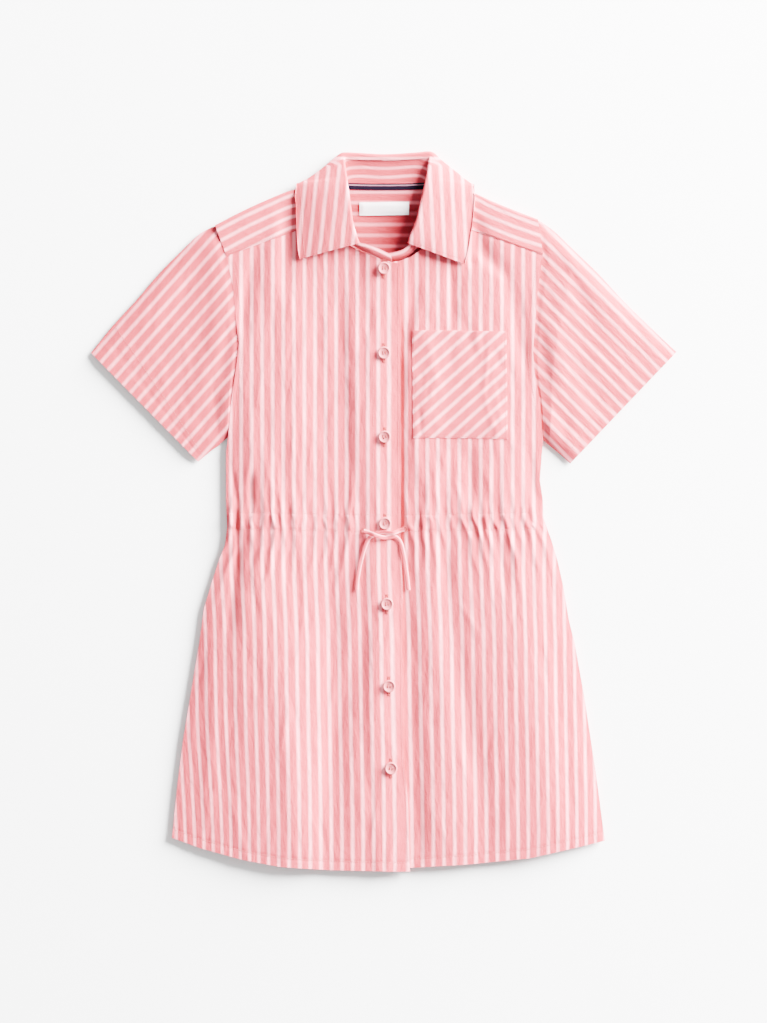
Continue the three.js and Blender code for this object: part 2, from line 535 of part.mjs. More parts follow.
// How strong the gathers are at a height: fullest just above and below the casing.
function gatherStrength(y) {
  const middle = (CASING_TOP.centre + CASING_BOTTOM.centre) / 2;
  const away = Math.abs(y - middle);
  const held = mix(0.55, 1, ease(6, 16, away));
  return held * (1 - ease(18, y > middle ? 70 : 95, away));
}

// Places across a front at the waist: close at both edges, then one for each side of a pucker.
function gatherColumns(side, inner, nearLap) {
  const direction = Math.sign(inner - side);
  const columns = [side, side + direction * 2.4];
  const count = Math.round(Math.abs(inner - side - direction * 5) / (GATHER_PITCH / 2));
  for (let k = 0; k <= count; k += 1) columns.push(mix(side + direction * 5, inner, k / count));
  return columns.concat(nearLap);
}

function buildFront(name, plan, isTop, firstPucker, lastPucker) {
  const top = [];
  const bottom = [];
  for (const row of plan) {
    const upper = [];
    const lower = [];
    row.forEach((p, k) => {
      const puckers = k >= firstPucker && k <= lastPucker;
      const swing = puckers ? GATHER_DEPTH * gatherStrength(p.y) * (k % 2 ? 1 : -1) : 0;
      const height = (isTop ? topFrontTop(p.x, p.y) : frontTop(p.x, p.y)) + swing;
      const wall = isTop ? mix(CLOTH, PLACKET_CLOTH, lapRise(p.x, p.y) > 1 ? 1 : 0) : CLOTH;
      const under = Math.max(height - wall, CLOTH + GAP);
      upper.push(new THREE.Vector3(p.x, p.y, Math.max(height, under + CLOTH)));
      lower.push(new THREE.Vector3(p.x, p.y, under));
    });
    top.push(upper);
    bottom.push(lower);
  }
  addPiece(name, slab(top, bottom), materials.cloth);
}

// The wearer's right front is on top. Its inner edge is the placket's edge.
function rightFront() {
  const edge = (y) => lookUp(PLACKET_EDGE, 'y', 'x', y);
  const lapStart = edge(CASING_TOP.centre) - PLACKET_WIDTH - 1;
  const beforeLap = lapStart - PLACKET_RAMP;
  const lapColumns = [lapStart - PLACKET_RAMP / 2, lapStart, lapStart + 9.8, lapStart + 19.6];
  lapColumns.push(edge(CASING_TOP.centre));
  const columns = gatherColumns(rightEdge(CASING_TOP.side), beforeLap, lapColumns);
  const plan = frontPlan({
    armhole: RIGHT_ARMHOLE,
    topEdge: RIGHT_FRONT_TOP,
    hem: RIGHT_HEM,
    sideX: rightEdge,
    innerX: edge,
    columns,
  });
  buildFront('front_right', plan, true, 2, columns.length - 1 - lapColumns.length);
}

// The wearer's left front runs in under the placket.
function leftFront() {
  const edge = (y) => lookUp(PLACKET_EDGE, 'y', 'x', y) - PLACKET_WIDTH;
  const inner = edge(CASING_TOP.centre);
  const lapColumns = [28.5, 18.6, 8.8, 0].map((fromInner) => inner + fromInner);
  const columns = gatherColumns(leftEdge(CASING_TOP.side), inner + 33, lapColumns);
  const plan = frontPlan({
    armhole: LEFT_ARMHOLE,
    topEdge: LEFT_FRONT_TOP,
    hem: LEFT_HEM,
    sideX: leftEdge,
    innerX: edge,
    columns,
  });
  buildFront('front_left', plan, false, 2, columns.length - 1 - lapColumns.length);
}

// The back lies flat on the floor from the yoke seam to the hem.
function backPanel() {
  const heights = [YOKE_SEAM_Y - GAP, 225, 218, 191, 186, 168, 159, 146, 138, 115, 109, 74, 71, 59];
  heights.push(31, 11, -7, -16, -29, -34, -49, -69, -73, -97, -109, -133, -181, -189, -229, -269);
  heights.push(-277, -320);
  const shares = [0, 0.1, 0.3, 0.5, 0.7, 0.9, 1];
  const hemInset = 1;
  const top = [];
  const bottom = [];
  const pushRow = (heightOf) => {
    const upper = [];
    const lower = [];
    for (const share of shares) {
      const guess = mix(rightEdge(-327), leftEdge(-330), share);
      const y = heightOf(guess);
      const x = mix(rightEdge(y), leftEdge(y), share);
      upper.push(new THREE.Vector3(x, y, CLOTH));
      lower.push(new THREE.Vector3(x, y, 0));
    }
    top.push(upper);
    bottom.push(lower);
  };
  for (const y of heights) pushRow(() => y);
  pushRow((x) => (x < 0 ? lookUp(RIGHT_HEM, 'x', 'y', x) : lookUp(LEFT_HEM, 'x', 'y', x)) + hemInset);
  addPiece('back', slab(top, bottom), materials.cloth);
}

// One shoulder of the yoke: its flap on the front, the fold, and a strip that joins the back part.
function shoulderWrap(shoulder) {
  const top = [];
  const bottom = [];
  const strip = 9;
  for (const row of shoulder) {
    const reach = Math.hypot(row.endX - row.x, row.endY - row.y);
    const ux = (row.endX - row.x) / reach;
    const uy = (row.endY - row.y) / reach;
    const low = backLift(row.x, row.y - 6) + CLOTH / 2;
    const place = (inward) => ({ x: row.x + ux * inward, y: row.y + uy * inward });
    const high = frontTop(place(6).x, place(6).y) - CLOTH / 2;
    const radius = (high - low) / 2;
    const path = [];
    for (const share of [1, 0.75, 0.5, 0.28]) {
      const out = share === 1 ? reach - GAP : reach * share;
      const p = place(out);
      path.push({ out, z: frontTop(p.x, p.y) - CLOTH / 2 });
    }
    for (let a = 0; a <= 6; a += 1) {
      const angle = (Math.PI * a) / 6;
      path.push({
        out: CLOTH / 2 + radius * (1 - Math.sin(angle)),
        z: (high + low) / 2 + radius * Math.cos(angle),
      });
    }
    path.push({ out: strip, z: low });
    const halves = path.map((p, k) => (k === path.length - 1 ? 0.35 : k >= 9 ? 0.5 : 0.6));
    const toPoint = (q) => new THREE.Vector3(place(q.out).x, place(q.out).y, q.z);
    top.push(thicken(path, halves).map(toPoint));
    bottom.push(thicken(path, halves.map((h) => -h)).map(toPoint));
  }
  return slab(top, bottom);
}

// The yoke: a flat back part, joined along both shoulders to flaps that come over to the front.
function yoke() {
  const neck = [
    { x: -58, y: 323 }, { x: -44, y: 323 }, { x: -26, y: 322 }, { x: 2, y: 321.5 },
    { x: 28, y: 322 }, { x: 44, y: 323 }, { x: 58, y: 323 },
  ];
  const inset = 2.2;
  const shoulderY = (rows, x) => lookUp(rows, 'x', 'y', x) - inset;
  const corner = { right: RIGHT_SHOULDER[5], left: LEFT_SHOULDER[5] };
  const places = [-140, -118, -94, -80, -69, -58, -44, -26, 2, 28, 44, 58, 69, 80, 92, 107, 130];
  const top = [];
  const bottom = [];
  const cornerShare = (rows) => (rows[5].endY - YOKE_SEAM_Y) / (rows[5].y - inset - YOKE_SEAM_Y);
  const corners = [cornerShare(RIGHT_SHOULDER), cornerShare(LEFT_SHOULDER)].sort((a, b) => a - b);
  const shares = [0, ...corners, 0.55, 0.63, 0.7, 0.77, 0.84, 0.91, 1];
  const column = (topPoint, sideX) => {
    const upper = [];
    const lower = [];
    for (const share of shares) {
      const y = mix(YOKE_SEAM_Y, topPoint.y, share);
      const x = sideX ? sideX(y) : topPoint.x;
      const lift = backLift(x, y);
      upper.push(new THREE.Vector3(x, y, lift + CLOTH));
      lower.push(new THREE.Vector3(x, y, lift));
    }
    top.push(upper);
    bottom.push(lower);
  };
  column({ x: corner.right.x, y: corner.right.y - inset }, rightEdge);
  for (const x of places) {
    if (x <= -58) column({ x, y: shoulderY(RIGHT_SHOULDER, x) });
    else if (x < 58) column({ x, y: lookUp(neck, 'x', 'y', x) });
    else column({ x, y: shoulderY(LEFT_SHOULDER, x) });
  }
  column({ x: corner.left.x, y: corner.left.y - inset }, leftEdge);
  const back = toSolid(slab(top, bottom));
  const right = toSolid(shoulderWrap(RIGHT_SHOULDER));
  const left = toSolid(shoulderWrap(LEFT_SHOULDER));
  addPiece('yoke', fromSolid(back.add(right).add(left)), materials.cloth);
}

// A sleeve is a flattened tube, open at the armhole and at the hem.
function sleeve(name, rows, armhole) {
  const side = Math.sign(rows[0].topX);
  const first = rows[0];
  const spans = armhole.map((p) => {
    const span = (first.topY - p.y) / (first.topY - first.underY);
    return { span, bow: p.x - mix(first.topX, first.underX, span) };
  });
  const near = SLEEVE_EDGE_SHARE;
  const stops = spans.map((s) => s.span);
  stops.splice(1, 0, near * 2);
  stops.splice(stops.length - 1, 0, 1 - near * 2);
  const outer = [];
  const inner = [];
  for (const row of rows) {
    const seam = row.along === 0 ? side * GAP : 0;
    const bowLeft = (1 - row.along) ** 2;
    const place = (span) => ({
      x: mix(row.topX, row.underX, span) + lookUp(spans, 'span', 'bow', span) * bowLeft + seam,
      y: mix(row.topY, row.underY, span),
    });
    const edge = mix(SLEEVE_SEAM_EDGE, SLEEVE_EDGE_HEIGHT, ease(0, 0.3, row.along));
    const crown = SLEEVE_HEIGHT - SLEEVE_HEM_FALL * row.along;
    const topAt = (span) => mix(edge, crown, Math.sqrt(ease(0, 0.12, Math.min(span, 1 - span))));
    const ringOut = [];
    const ringIn = [];
    const add = (span, outZ, inZ, inwardSpan) => {
      const p = place(span);
      const q = place(inwardSpan);
      ringOut.push(new THREE.Vector3(p.x, p.y, outZ));
      ringIn.push(new THREE.Vector3(q.x, q.y, inZ));
    };
    add(0, edge / 2, edge / 2, near);
    for (const span of stops.slice(1, -1)) add(span, topAt(span), topAt(span) - CLOTH, span);
    add(1, edge / 2, edge / 2, 1 - near);
    for (const span of stops.slice(1, -1).reverse()) add(span, 0, CLOTH, span);
    outer.push(ringOut);
    inner.push(ringIn);
  }
  addPiece(name, tubeWall(outer, inner), materials.cloth);
}

// The stand: a ribbon from the neck seam to the fold, its ends lapping at the front. At the sides
// it leans in over the neck, and round the back it lies open, so its wall follows the ribbon's own
// slope.
function collarStand() {
  const middle = STAND.map((row) => [0, 0.5, 1].map((share) => new THREE.Vector3(
    mix(row.seamX, row.foldX, share),
    mix(row.seamY, row.foldY, share),
    mix(row.seamZ, row.foldZ, share),
  )));
  const wall = (by) => middle.map((row, i) => row.map((p, j) => {
    const along = middle[Math.min(middle.length - 1, i + 1)][j].clone();
    along.sub(middle[Math.max(0, i - 1)][j]);
    const across = row[Math.min(2, j + 1)].clone().sub(row[Math.max(0, j - 1)]);
    return p.clone().addScaledVector(along.cross(across).normalize(), by);
  }));
  addPiece('collar_stand', slab(wall(CLOTH / 2), wall(-CLOTH / 2)), materials.cloth);
}

// The leaf: each section runs out from the fold, over a slight crown, and where it is turned goes
// round its outermost line and back in flat under the neck. In a section, out is the distance from
// its start, z the height and aside the shift along the collar.
function collarLeaf() {
  const top = [];
  const bottom = [];
  for (const row of LEAF) {
    const reach = Math.hypot(row.outX - row.x, row.outY - row.y);
    const ux = (row.outX - row.x) / reach;
    const uy = (row.outY - row.y) / reach;
    const low = CLOTH / 2;
    const radius = row.turned ? (row.outZ - low) / 2 : 0;
    const flat = reach - radius - (row.turned ? CLOTH / 2 : 0);
    const path = [];
    for (const share of [0, 0.12, 0.4, 0.7, 1]) {
      const crown = Math.sin(Math.PI * share) * reach * LEAF_CROWN;
      path.push({ out: flat * share, aside: 0, z: mix(row.z, row.outZ, share) + crown });
    }
    for (let a = 1; a <= 4; a += 1) {
      const angle = (Math.PI * a) / 4;
      if (row.turned) {
        const out = flat + radius * Math.sin(angle);
        path.push({ out, aside: 0, z: low + radius * (1 + Math.cos(angle)) });
      } else {
        path.push({ out: flat + a * 0.3, aside: 0, z: row.outZ - a * 0.04 });
      }
    }
    const underOut = (row.underX - row.x) * ux + (row.underY - row.y) * uy;
    const underAside = -(row.underX - row.x) * uy + (row.underY - row.y) * ux;
    for (const share of [0.5, 1]) {
      if (row.turned) {
        path.push({ out: mix(flat, underOut, share), aside: underAside * share, z: low });
      } else {
        path.push({ out: flat + 1.2 + share * 0.6, aside: 0, z: row.outZ - 0.2 });
      }
    }
    const toPoint = (q) => new THREE.Vector3(
      row.x + ux * q.out - uy * q.aside,
      row.y + uy * q.out + ux * q.aside,
      q.z,
    );
    const half = path.map(() => CLOTH / 2);
    top.push(thicken(path, half).map(toPoint));
    bottom.push(thicken(path, half.map((h) => -h)).map(toPoint));
  }
  addPiece('collar', slab(top, bottom), materials.cloth);
}

// Path in a section moved off itself by a distance at each point, to its left as it goes.
function thicken(path, distances) {
  return path.map((p, k) => {
    const by = distances[k];
    const before = path[Math.max(0, k - 1)];
    const after = path[Math.min(path.length - 1, k + 1)];
    const along = after.out - before.out;
    const rise = after.z - before.z;
    const length = Math.hypot(along, rise);
    return { out: p.out - (rise / length) * by, aside: p.aside, z: p.z + (along / length) * by };
  });
}

// A strip that lies on a surface: its corners and the height of the surface under each point.
function patch(name, area, surface, thickness, columns, rows, material) {
  const top = [];
  const bottom = [];
  for (let i = 0; i <= rows; i += 1) {
    const y = mix(area.top, area.bottom, i / rows);
    const upper = [];
    const lower = [];
    for (let j = 0; j <= columns; j += 1) {
      const x = mix(area.left, area.right, j / columns);
      const base = surface(x, y) + GAP + CLEAR;
      upper.push(new THREE.Vector3(x, y, base + thickness));
      lower.push(new THREE.Vector3(x, y, base));
    }
    top.push(upper);
    bottom.push(lower);
  }
  addPiece(name, slab(top, bottom), material);
}

// Top of the stand where the neck tape lies on it, inside the back of the neck.
function standTopAtBack(x) {
  return lookUp(STAND.slice(10, 17), 'seamX', 'seamZ', x) + CLOTH / 2 + CLEAR;
}

// A four-hole button with a rim, its thread holes cut through.
function buttonGeometry() {
  const radius = BUTTON_DIAMETER / 2;
  const profile = [
    [0, 0], [radius - 1.1, 0], [radius, 0.7], [radius, 1.5], [radius - 0.7, 2.2],
    [radius - 1.6, 2.1], [radius - 2.2, 1.5], [0, 1.5],
  ].map(([r, z]) => new THREE.Vector2(r, z));
  const disc = new THREE.LatheGeometry(profile, 16);
  disc.rotateX(Math.PI / 2);
  let solid = toSolid(disc);
  const holeRadius = 0.7;
  const holeOffset = 1.3;
  for (const sx of [-1, 1]) {
    for (const sy of [-1, 1]) {
      const hole = new THREE.CylinderGeometry(holeRadius, holeRadius, 6, 6);
      hole.rotateX(Math.PI / 2);
      hole.translate(sx * holeOffset, sy * holeOffset, 0);
      solid = solid.subtract(toSolid(hole));
    }
  }
  return fromSolid(solid);
}

function buttons() {
  const geometry = buttonGeometry();
  const around = BUTTON_DIAMETER / 2;
  BUTTON_PLACES.forEach((place, k) => {
    let seat = 0;
    for (const dx of [-around, 0, around]) {
      for (const dy of [-around, 0, around]) {
        seat = Math.max(seat, topFrontTop(place.x + dx, place.y + dy));
      }
    }
    const piece = geometry.clone();
    piece.translate(place.x, place.y, seat + GAP);
    addPiece(`button_${k + 1}`, piece, materials.button);
  });
}

// Highest place under a patch of the tie's width, on whichever front is uppermost there.
function tieSeat(x, y) {
  let seat = 0;
  for (const dx of [-3, 0, 3]) {
    for (const dy of [-3, 0, 3]) {
      const onTop = x + dx < lookUp(PLACKET_EDGE, 'y', 'x', y + dy);
      const height = onTop ? topFrontTop(x + dx, y + dy) : frontTop(x + dx, y + dy);
      seat = Math.max(seat, height);
    }
  }
  return seat;
}

// A flat tie along a route over the fronts. It starts level, which keeps its flat side down.
function tie(name, route) {
  const points = route.map((p) => new THREE.Vector3(p.x, p.y, tieSeat(p.x, p.y) + p.rise));
  points[0].z = points[1].z;
  const curve = new THREE.CatmullRomCurve3(points);
  const section = new THREE.Shape();
  const sides = 8;
  for (let k = 0; k < sides; k += 1) {
    const angle = (2 * Math.PI * (k + 0.5)) / sides;
    const thick = (Math.cos(angle) * TIE_THICKNESS) / 2;
    const wide = (Math.sin(angle) * TIE_WIDTH) / 2;
    if (k === 0) section.moveTo(thick, wide);
    else section.lineTo(thick, wide);
  }
  section.closePath();
  const geometry = new THREE.ExtrudeGeometry(section, { steps: 20, extrudePath: curve });
  addPiece(name, geometry, materials.cloth);
}

backPanel();
yoke();
rightFront();
leftFront();
sleeve('sleeve_right', RIGHT_SLEEVE, RIGHT_ARMHOLE);
sleeve('sleeve_left', LEFT_SLEEVE, LEFT_ARMHOLE);
collarStand();
collarLeaf();
patch('pocket', POCKET, frontTop, CLOTH, 12, 8, materials.cloth);
patch('neck_tape', TAPE, standTopAtBack, TAPE.thickness, 6, 1, materials.tape);
patch('neck_label', LABEL, (x, y) => backLift(x, y) + CLOTH, LABEL.thickness, 1, 6, materials.label);
buttons();
tie('drawstring_right', TIE_FROM_RIGHT);
tie('drawstring_left', TIE_FROM_LEFT);

// The origin is under the middle of the whole dress.
const extent = new THREE.Box3().setFromObject(dress);
dress.position.set(-(extent.min.x + extent.max.x) / 2, -(extent.min.y + extent.max.y) / 2, 0);

export default dress;
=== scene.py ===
import math

import bpy
import numpy as np
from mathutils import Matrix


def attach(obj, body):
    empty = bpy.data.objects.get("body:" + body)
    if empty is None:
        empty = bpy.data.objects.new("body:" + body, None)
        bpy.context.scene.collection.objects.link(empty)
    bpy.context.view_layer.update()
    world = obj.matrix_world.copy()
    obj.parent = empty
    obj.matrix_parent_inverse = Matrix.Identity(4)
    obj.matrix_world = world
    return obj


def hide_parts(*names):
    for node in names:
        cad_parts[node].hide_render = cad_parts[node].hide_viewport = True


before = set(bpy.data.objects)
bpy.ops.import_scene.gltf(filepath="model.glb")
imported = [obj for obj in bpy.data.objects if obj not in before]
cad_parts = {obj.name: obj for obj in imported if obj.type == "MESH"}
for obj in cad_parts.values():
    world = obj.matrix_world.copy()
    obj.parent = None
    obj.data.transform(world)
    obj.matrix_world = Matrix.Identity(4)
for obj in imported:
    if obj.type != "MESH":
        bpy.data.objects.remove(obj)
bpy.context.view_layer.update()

# The striped cotton, a light poplin with a white stripe woven in. Every piece carries a map in
# millimetres of cloth, U across the stripes and V along them, with a white stripe where U is 0, so
# that the stripes lie on each piece as it was cut. The weave and its slubs are a fine bump. The
# attribute depth paints shade into the colour: painted shade in the neck's hollow under the
# collar, on the sleeves (most on the wearer's right one) and on the skirt's flank on the wearer's
# right, away from the lamp.
MM = 0.001
STRIPE_PITCH = 10.6
STRIPE_WIDTH = 3.2
STRIPE_SOFTNESS = 2.4
PINK = (0.42, 0.034, 0.050, 1)
PINK_PALE = (0.52, 0.058, 0.086, 1)
WHITE = (0.89, 0.25, 0.30, 1)
# The darker tint that the painted shade multiplies into the cloth's colour.
PAINTED_SHADE_TINT = (0.42, 0.22, 0.26, 1)
THREAD_PITCH = 0.42
FRAME_SHIFT = np.array([0.25, 0.2, 0.0])


def new_group(name, inputs, outputs):
    group = bpy.data.node_groups.new(name, "ShaderNodeTree")
    for label, kind, value in inputs:
        socket = group.interface.new_socket(label, in_out="INPUT", socket_type=kind)
        socket.default_value = value
    for label, kind in outputs:
        group.interface.new_socket(label, in_out="OUTPUT", socket_type=kind)
    return group, group.nodes.new("NodeGroupInput"), group.nodes.new("NodeGroupOutput")


def math_node(tree, operation, *values):
    node = tree.nodes.new("ShaderNodeMath")
    node.operation = operation
    for slot, value in enumerate(values):
        if isinstance(value, (int, float)):
            node.inputs[slot].default_value = value
        else:
            tree.links.new(value, node.inputs[slot])
    return node.outputs[0]


def cloth_map(tree):
    uv = tree.nodes.new("ShaderNodeUVMap")
    uv.uv_map = "cloth"
    split = tree.nodes.new("ShaderNodeSeparateXYZ")
    tree.links.new(uv.outputs["UV"], split.inputs[0])
    return uv.outputs["UV"], split.outputs["X"], split.outputs["Y"]


def noise_node(tree, vector, scale_x, scale_y, detail, roughness=0.5):
    place = tree.nodes.new("ShaderNodeMapping")
    place.inputs["Scale"].default_value = (scale_x, scale_y, 1)
    tree.links.new(vector, place.inputs["Vector"])
    node = tree.nodes.new("ShaderNodeTexNoise")
    node.inputs["Scale"].default_value = 1.0
    node.inputs["Detail"].default_value = detail
    node.inputs["Roughness"].default_value = roughness
    tree.links.new(place.outputs["Vector"], node.inputs["Vector"])
    return node.outputs["Fac"]


def mix_colours(tree, factor, first, second):
    node = tree.nodes.new("ShaderNodeMix")
    node.data_type = "RGBA"
    tree.links.new(factor, node.inputs["Factor"])
    for socket, value in ((node.inputs[6], first), (node.inputs[7], second)):
        if isinstance(value, tuple):
            socket.default_value = value
        else:
            tree.links.new(value, socket)
    return node.outputs[2]


def make_stripe_group():
    group, _, out = new_group("woven stripe and painted shade", [], [("Color", "NodeSocketColor")])
    vector, u, _ = cloth_map(group)
    wobble = math_node(group, "MULTIPLY", noise_node(group, vector, 0.3, 0.05, 2), 0.4)
    turns = math_node(group, "DIVIDE", math_node(group, "ADD", u, wobble), STRIPE_PITCH)
    phase = math_node(group, "FRACT", math_node(group, "ADD", turns, 1000.5))
    away = math_node(group, "ABSOLUTE", math_node(group, "SUBTRACT", phase, 0.5))
    edge = group.nodes.new("ShaderNodeMapRange")
    edge.interpolation_type = "SMOOTHSTEP"
    group.links.new(away, edge.inputs["Value"])
    edge.inputs["From Min"].default_value = (STRIPE_WIDTH + STRIPE_SOFTNESS) / 2 / STRIPE_PITCH
    edge.inputs["From Max"].default_value = (STRIPE_WIDTH - STRIPE_SOFTNESS) / 2 / STRIPE_PITCH
    yarn = noise_node(group, vector, 3.5, 0.12, 3, 0.6)
    patchy = noise_node(group, vector, 0.03, 0.02, 3)
    tone = math_node(group, "MULTIPLY_ADD", patchy, 0.6, math_node(group, "MULTIPLY", yarn, 0.5))
    pink = mix_colours(group, tone, PINK, PINK_PALE)
    striped = mix_colours(group, edge.outputs[0], pink, WHITE)
    # Painted shade: the attribute depth multiplies the striped colour towards a darker tint where the
    # cloth lies in shade.
    depth = group.nodes.new("ShaderNodeAttribute")
    depth.attribute_name = "depth"
    painted_shade_mix = group.nodes.new("ShaderNodeMix")
    painted_shade_mix.data_type = "RGBA"
    painted_shade_mix.blend_type = "MULTIPLY"
    group.links.new(depth.outputs["Fac"], painted_shade_mix.inputs["Factor"])
    group.links.new(striped, painted_shade_mix.inputs[6])
    painted_shade_mix.inputs[7].default_value = PAINTED_SHADE_TINT
    group.links.new(painted_shade_mix.outputs[2], out.inputs["Color"])
    return group


def make_weave_group():
    inputs = [("Pitch", "NodeSocketFloat", THREAD_PITCH), ("Crumple", "NodeSocketFloat", 1.4)]
    group, given, out = new_group("plain weave", inputs, [("Height", "NodeSocketFloat")])
    vector, u, v = cloth_map(group)
    turn = math_node(group, "DIVIDE", 2 * math.pi, given.outputs["Pitch"])
    warp = math_node(group, "SINE", math_node(group, "MULTIPLY", u, turn))
    weft = math_node(group, "SINE", math_node(group, "MULTIPLY", v, turn))
    over = math_node(group, "MULTIPLY", math_node(group, "MULTIPLY", warp, weft), 0.025)
    slub = math_node(group, "MULTIPLY", noise_node(group, vector, 2.2, 0.1, 2), 0.05)
    crumple = noise_node(group, vector, 0.15, 0.045, 4, 0.58)
    crumpled = math_node(group, "MULTIPLY", crumple, given.outputs["Crumple"])
    total = math_node(group, "ADD", math_node(group, "ADD", over, slub), crumpled)
    group.links.new(total, out.inputs["Height"])
    return group


stripe_group = make_stripe_group()
weave_group = make_weave_group()


def new_material(name, roughness, specular, colour=(1, 1, 1, 1)):
    material = bpy.data.materials.new(name)
    material.use_nodes = True
    shader = material.node_tree.nodes["Principled BSDF"]
    shader.inputs["Base Color"].default_value = colour
    shader.inputs["Roughness"].default_value = roughness
    shader.inputs["Specular IOR Level"].default_value = specular
    return material, material.node_tree, shader


def place_group(tree, group, **values):
    node = tree.nodes.new("ShaderNodeGroup")
    node.node_tree = group
    for label, value in values.items():
        node.inputs[label].default_value = value
    return node


def add_bump(tree, shader, height, strength=1.0):
    bump = tree.nodes.new("ShaderNodeBump")
    bump.inputs["Strength"].default_value = strength
    bump.inputs["Distance"].default_value = MM
    tree.links.new(height, bump.inputs["Height"])
    tree.links.new(bump.outputs["Normal"], shader.inputs["Normal"])


cotton, tree, shader = new_material("striped cotton", 0.9, 0.06)
tree.links.new(place_group(tree, stripe_group).outputs["Color"], shader.inputs["Base Color"])
add_bump(tree, shader, place_group(tree, weave_group).outputs["Height"])

# The back, one piece from the yoke seam to the hem, cut with the armholes and the side seams that
# it shares with the fronts. It lies on the floor, so it is nearly flat. Its cut edges are sewn in.
CLOTH = 0.7
REST = 0.15
RIGHT_ARMHOLE = [(286, -169), (255, -157.5), (225, -151), (191, -148), (168, -145), (146, -147.5),
                 (115, -152), (74, -156)]
LEFT_ARMHOLE = [(292, 154), (256, 159), (218, 153.5), (186, 151), (159, 149), (138, 150.5),
                (109, 156), (71, 159)]
RIGHT_SIDE = [(59, -158), (11, -158), (-16, -157), (-34, -159), (-49, -165), (-69, -171.5),
              (-97, -180), (-133, -185), (-181, -193), (-229, -201), (-277, -207), (-327, -212)]
LEFT_SIDE = [(31, 156), (11, 159), (-7, 159.5), (-29, 167.5), (-49, 173.5), (-73, 179),
             (-109, 185), (-133, 191), (-189, 201), (-229, 207), (-269, 213), (-330, 221)]
RIGHT_HEM = [(-212, -327), (-184, -337), (-144, -348), (-104, -355.5), (-54, -359), (16, -360.4),
             (27, -360.4)]
LEFT_HEM = [(-3, -357.5), (27, -356.7), (86, -353), (146, -347), (221, -330)]
PLACKET_EDGE = [(248, 16), (-34, 16.5), (-72, 18.4), (-192, 19.2), (-248, 20), (-292, 24),
                (-362, 26)]
YOKE_SEAM_Y = 236
CASING_TOP = (-1, -4)
CASING_BOTTOM = (-18, -21)


def mix(a, b, t):
    return a + (b - a) * t


def ease(start, end, value):
    t = np.clip((value - start) / (end - start), 0, 1)
    return t * t * (3 - 2 * t)


def look_up(rows, value):
    keys, values = zip(*sorted(rows))
    return np.interp(value, keys, values)


def right_edge(y):
    return look_up(RIGHT_ARMHOLE + RIGHT_SIDE, y)


def left_edge(y):
    return look_up(LEFT_ARMHOLE + LEFT_SIDE, y)


def placket_edge(y):
    return look_up(PLACKET_EDGE, y)


def surface_normals(points, closed=False):
    if closed:
        wrapped = np.concatenate([points[:, -1:], points, points[:, :1]], axis=1)
        across = wrapped[:, 2:] - wrapped[:, :-2]
    else:
        across = np.gradient(points, axis=1)
    normal = np.cross(across, np.gradient(points, axis=0))
    return normal / np.maximum(np.linalg.norm(normal, axis=2, keepdims=True), 1e-9)


def add_piece(name, mesh, material):
    mesh.polygons.foreach_set("use_smooth", [True] * len(mesh.polygons))
    mesh.set_sharp_from_angle(angle=math.radians(50))
    mesh.materials.append(material)
    mesh.update()
    piece = bpy.data.objects.new(name, mesh)
    bpy.context.scene.collection.objects.link(piece)
    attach(piece, "root")
    return piece


def neck_painted_shade(points):
    """How much painted shade points get in the neck's hollow, where the collar shades it, from 0 outside
    it to 1, more low down and towards the lower right.
    """
    x, y, z = points[:, 0], points[:, 1], points[:, 2]
    low = ease(9.5, 6.5, z)
    right_down = 0.55 * ease(330, 262, y + 0.5 * np.abs(x - 30))
    right_down = right_down + 0.45 * ease(-30, 34, x) * ease(325, 290, y)
    return low * ease(62, 50, np.abs(x)) * ease(240, 252, y) * (0.5 + 0.8 * right_down)


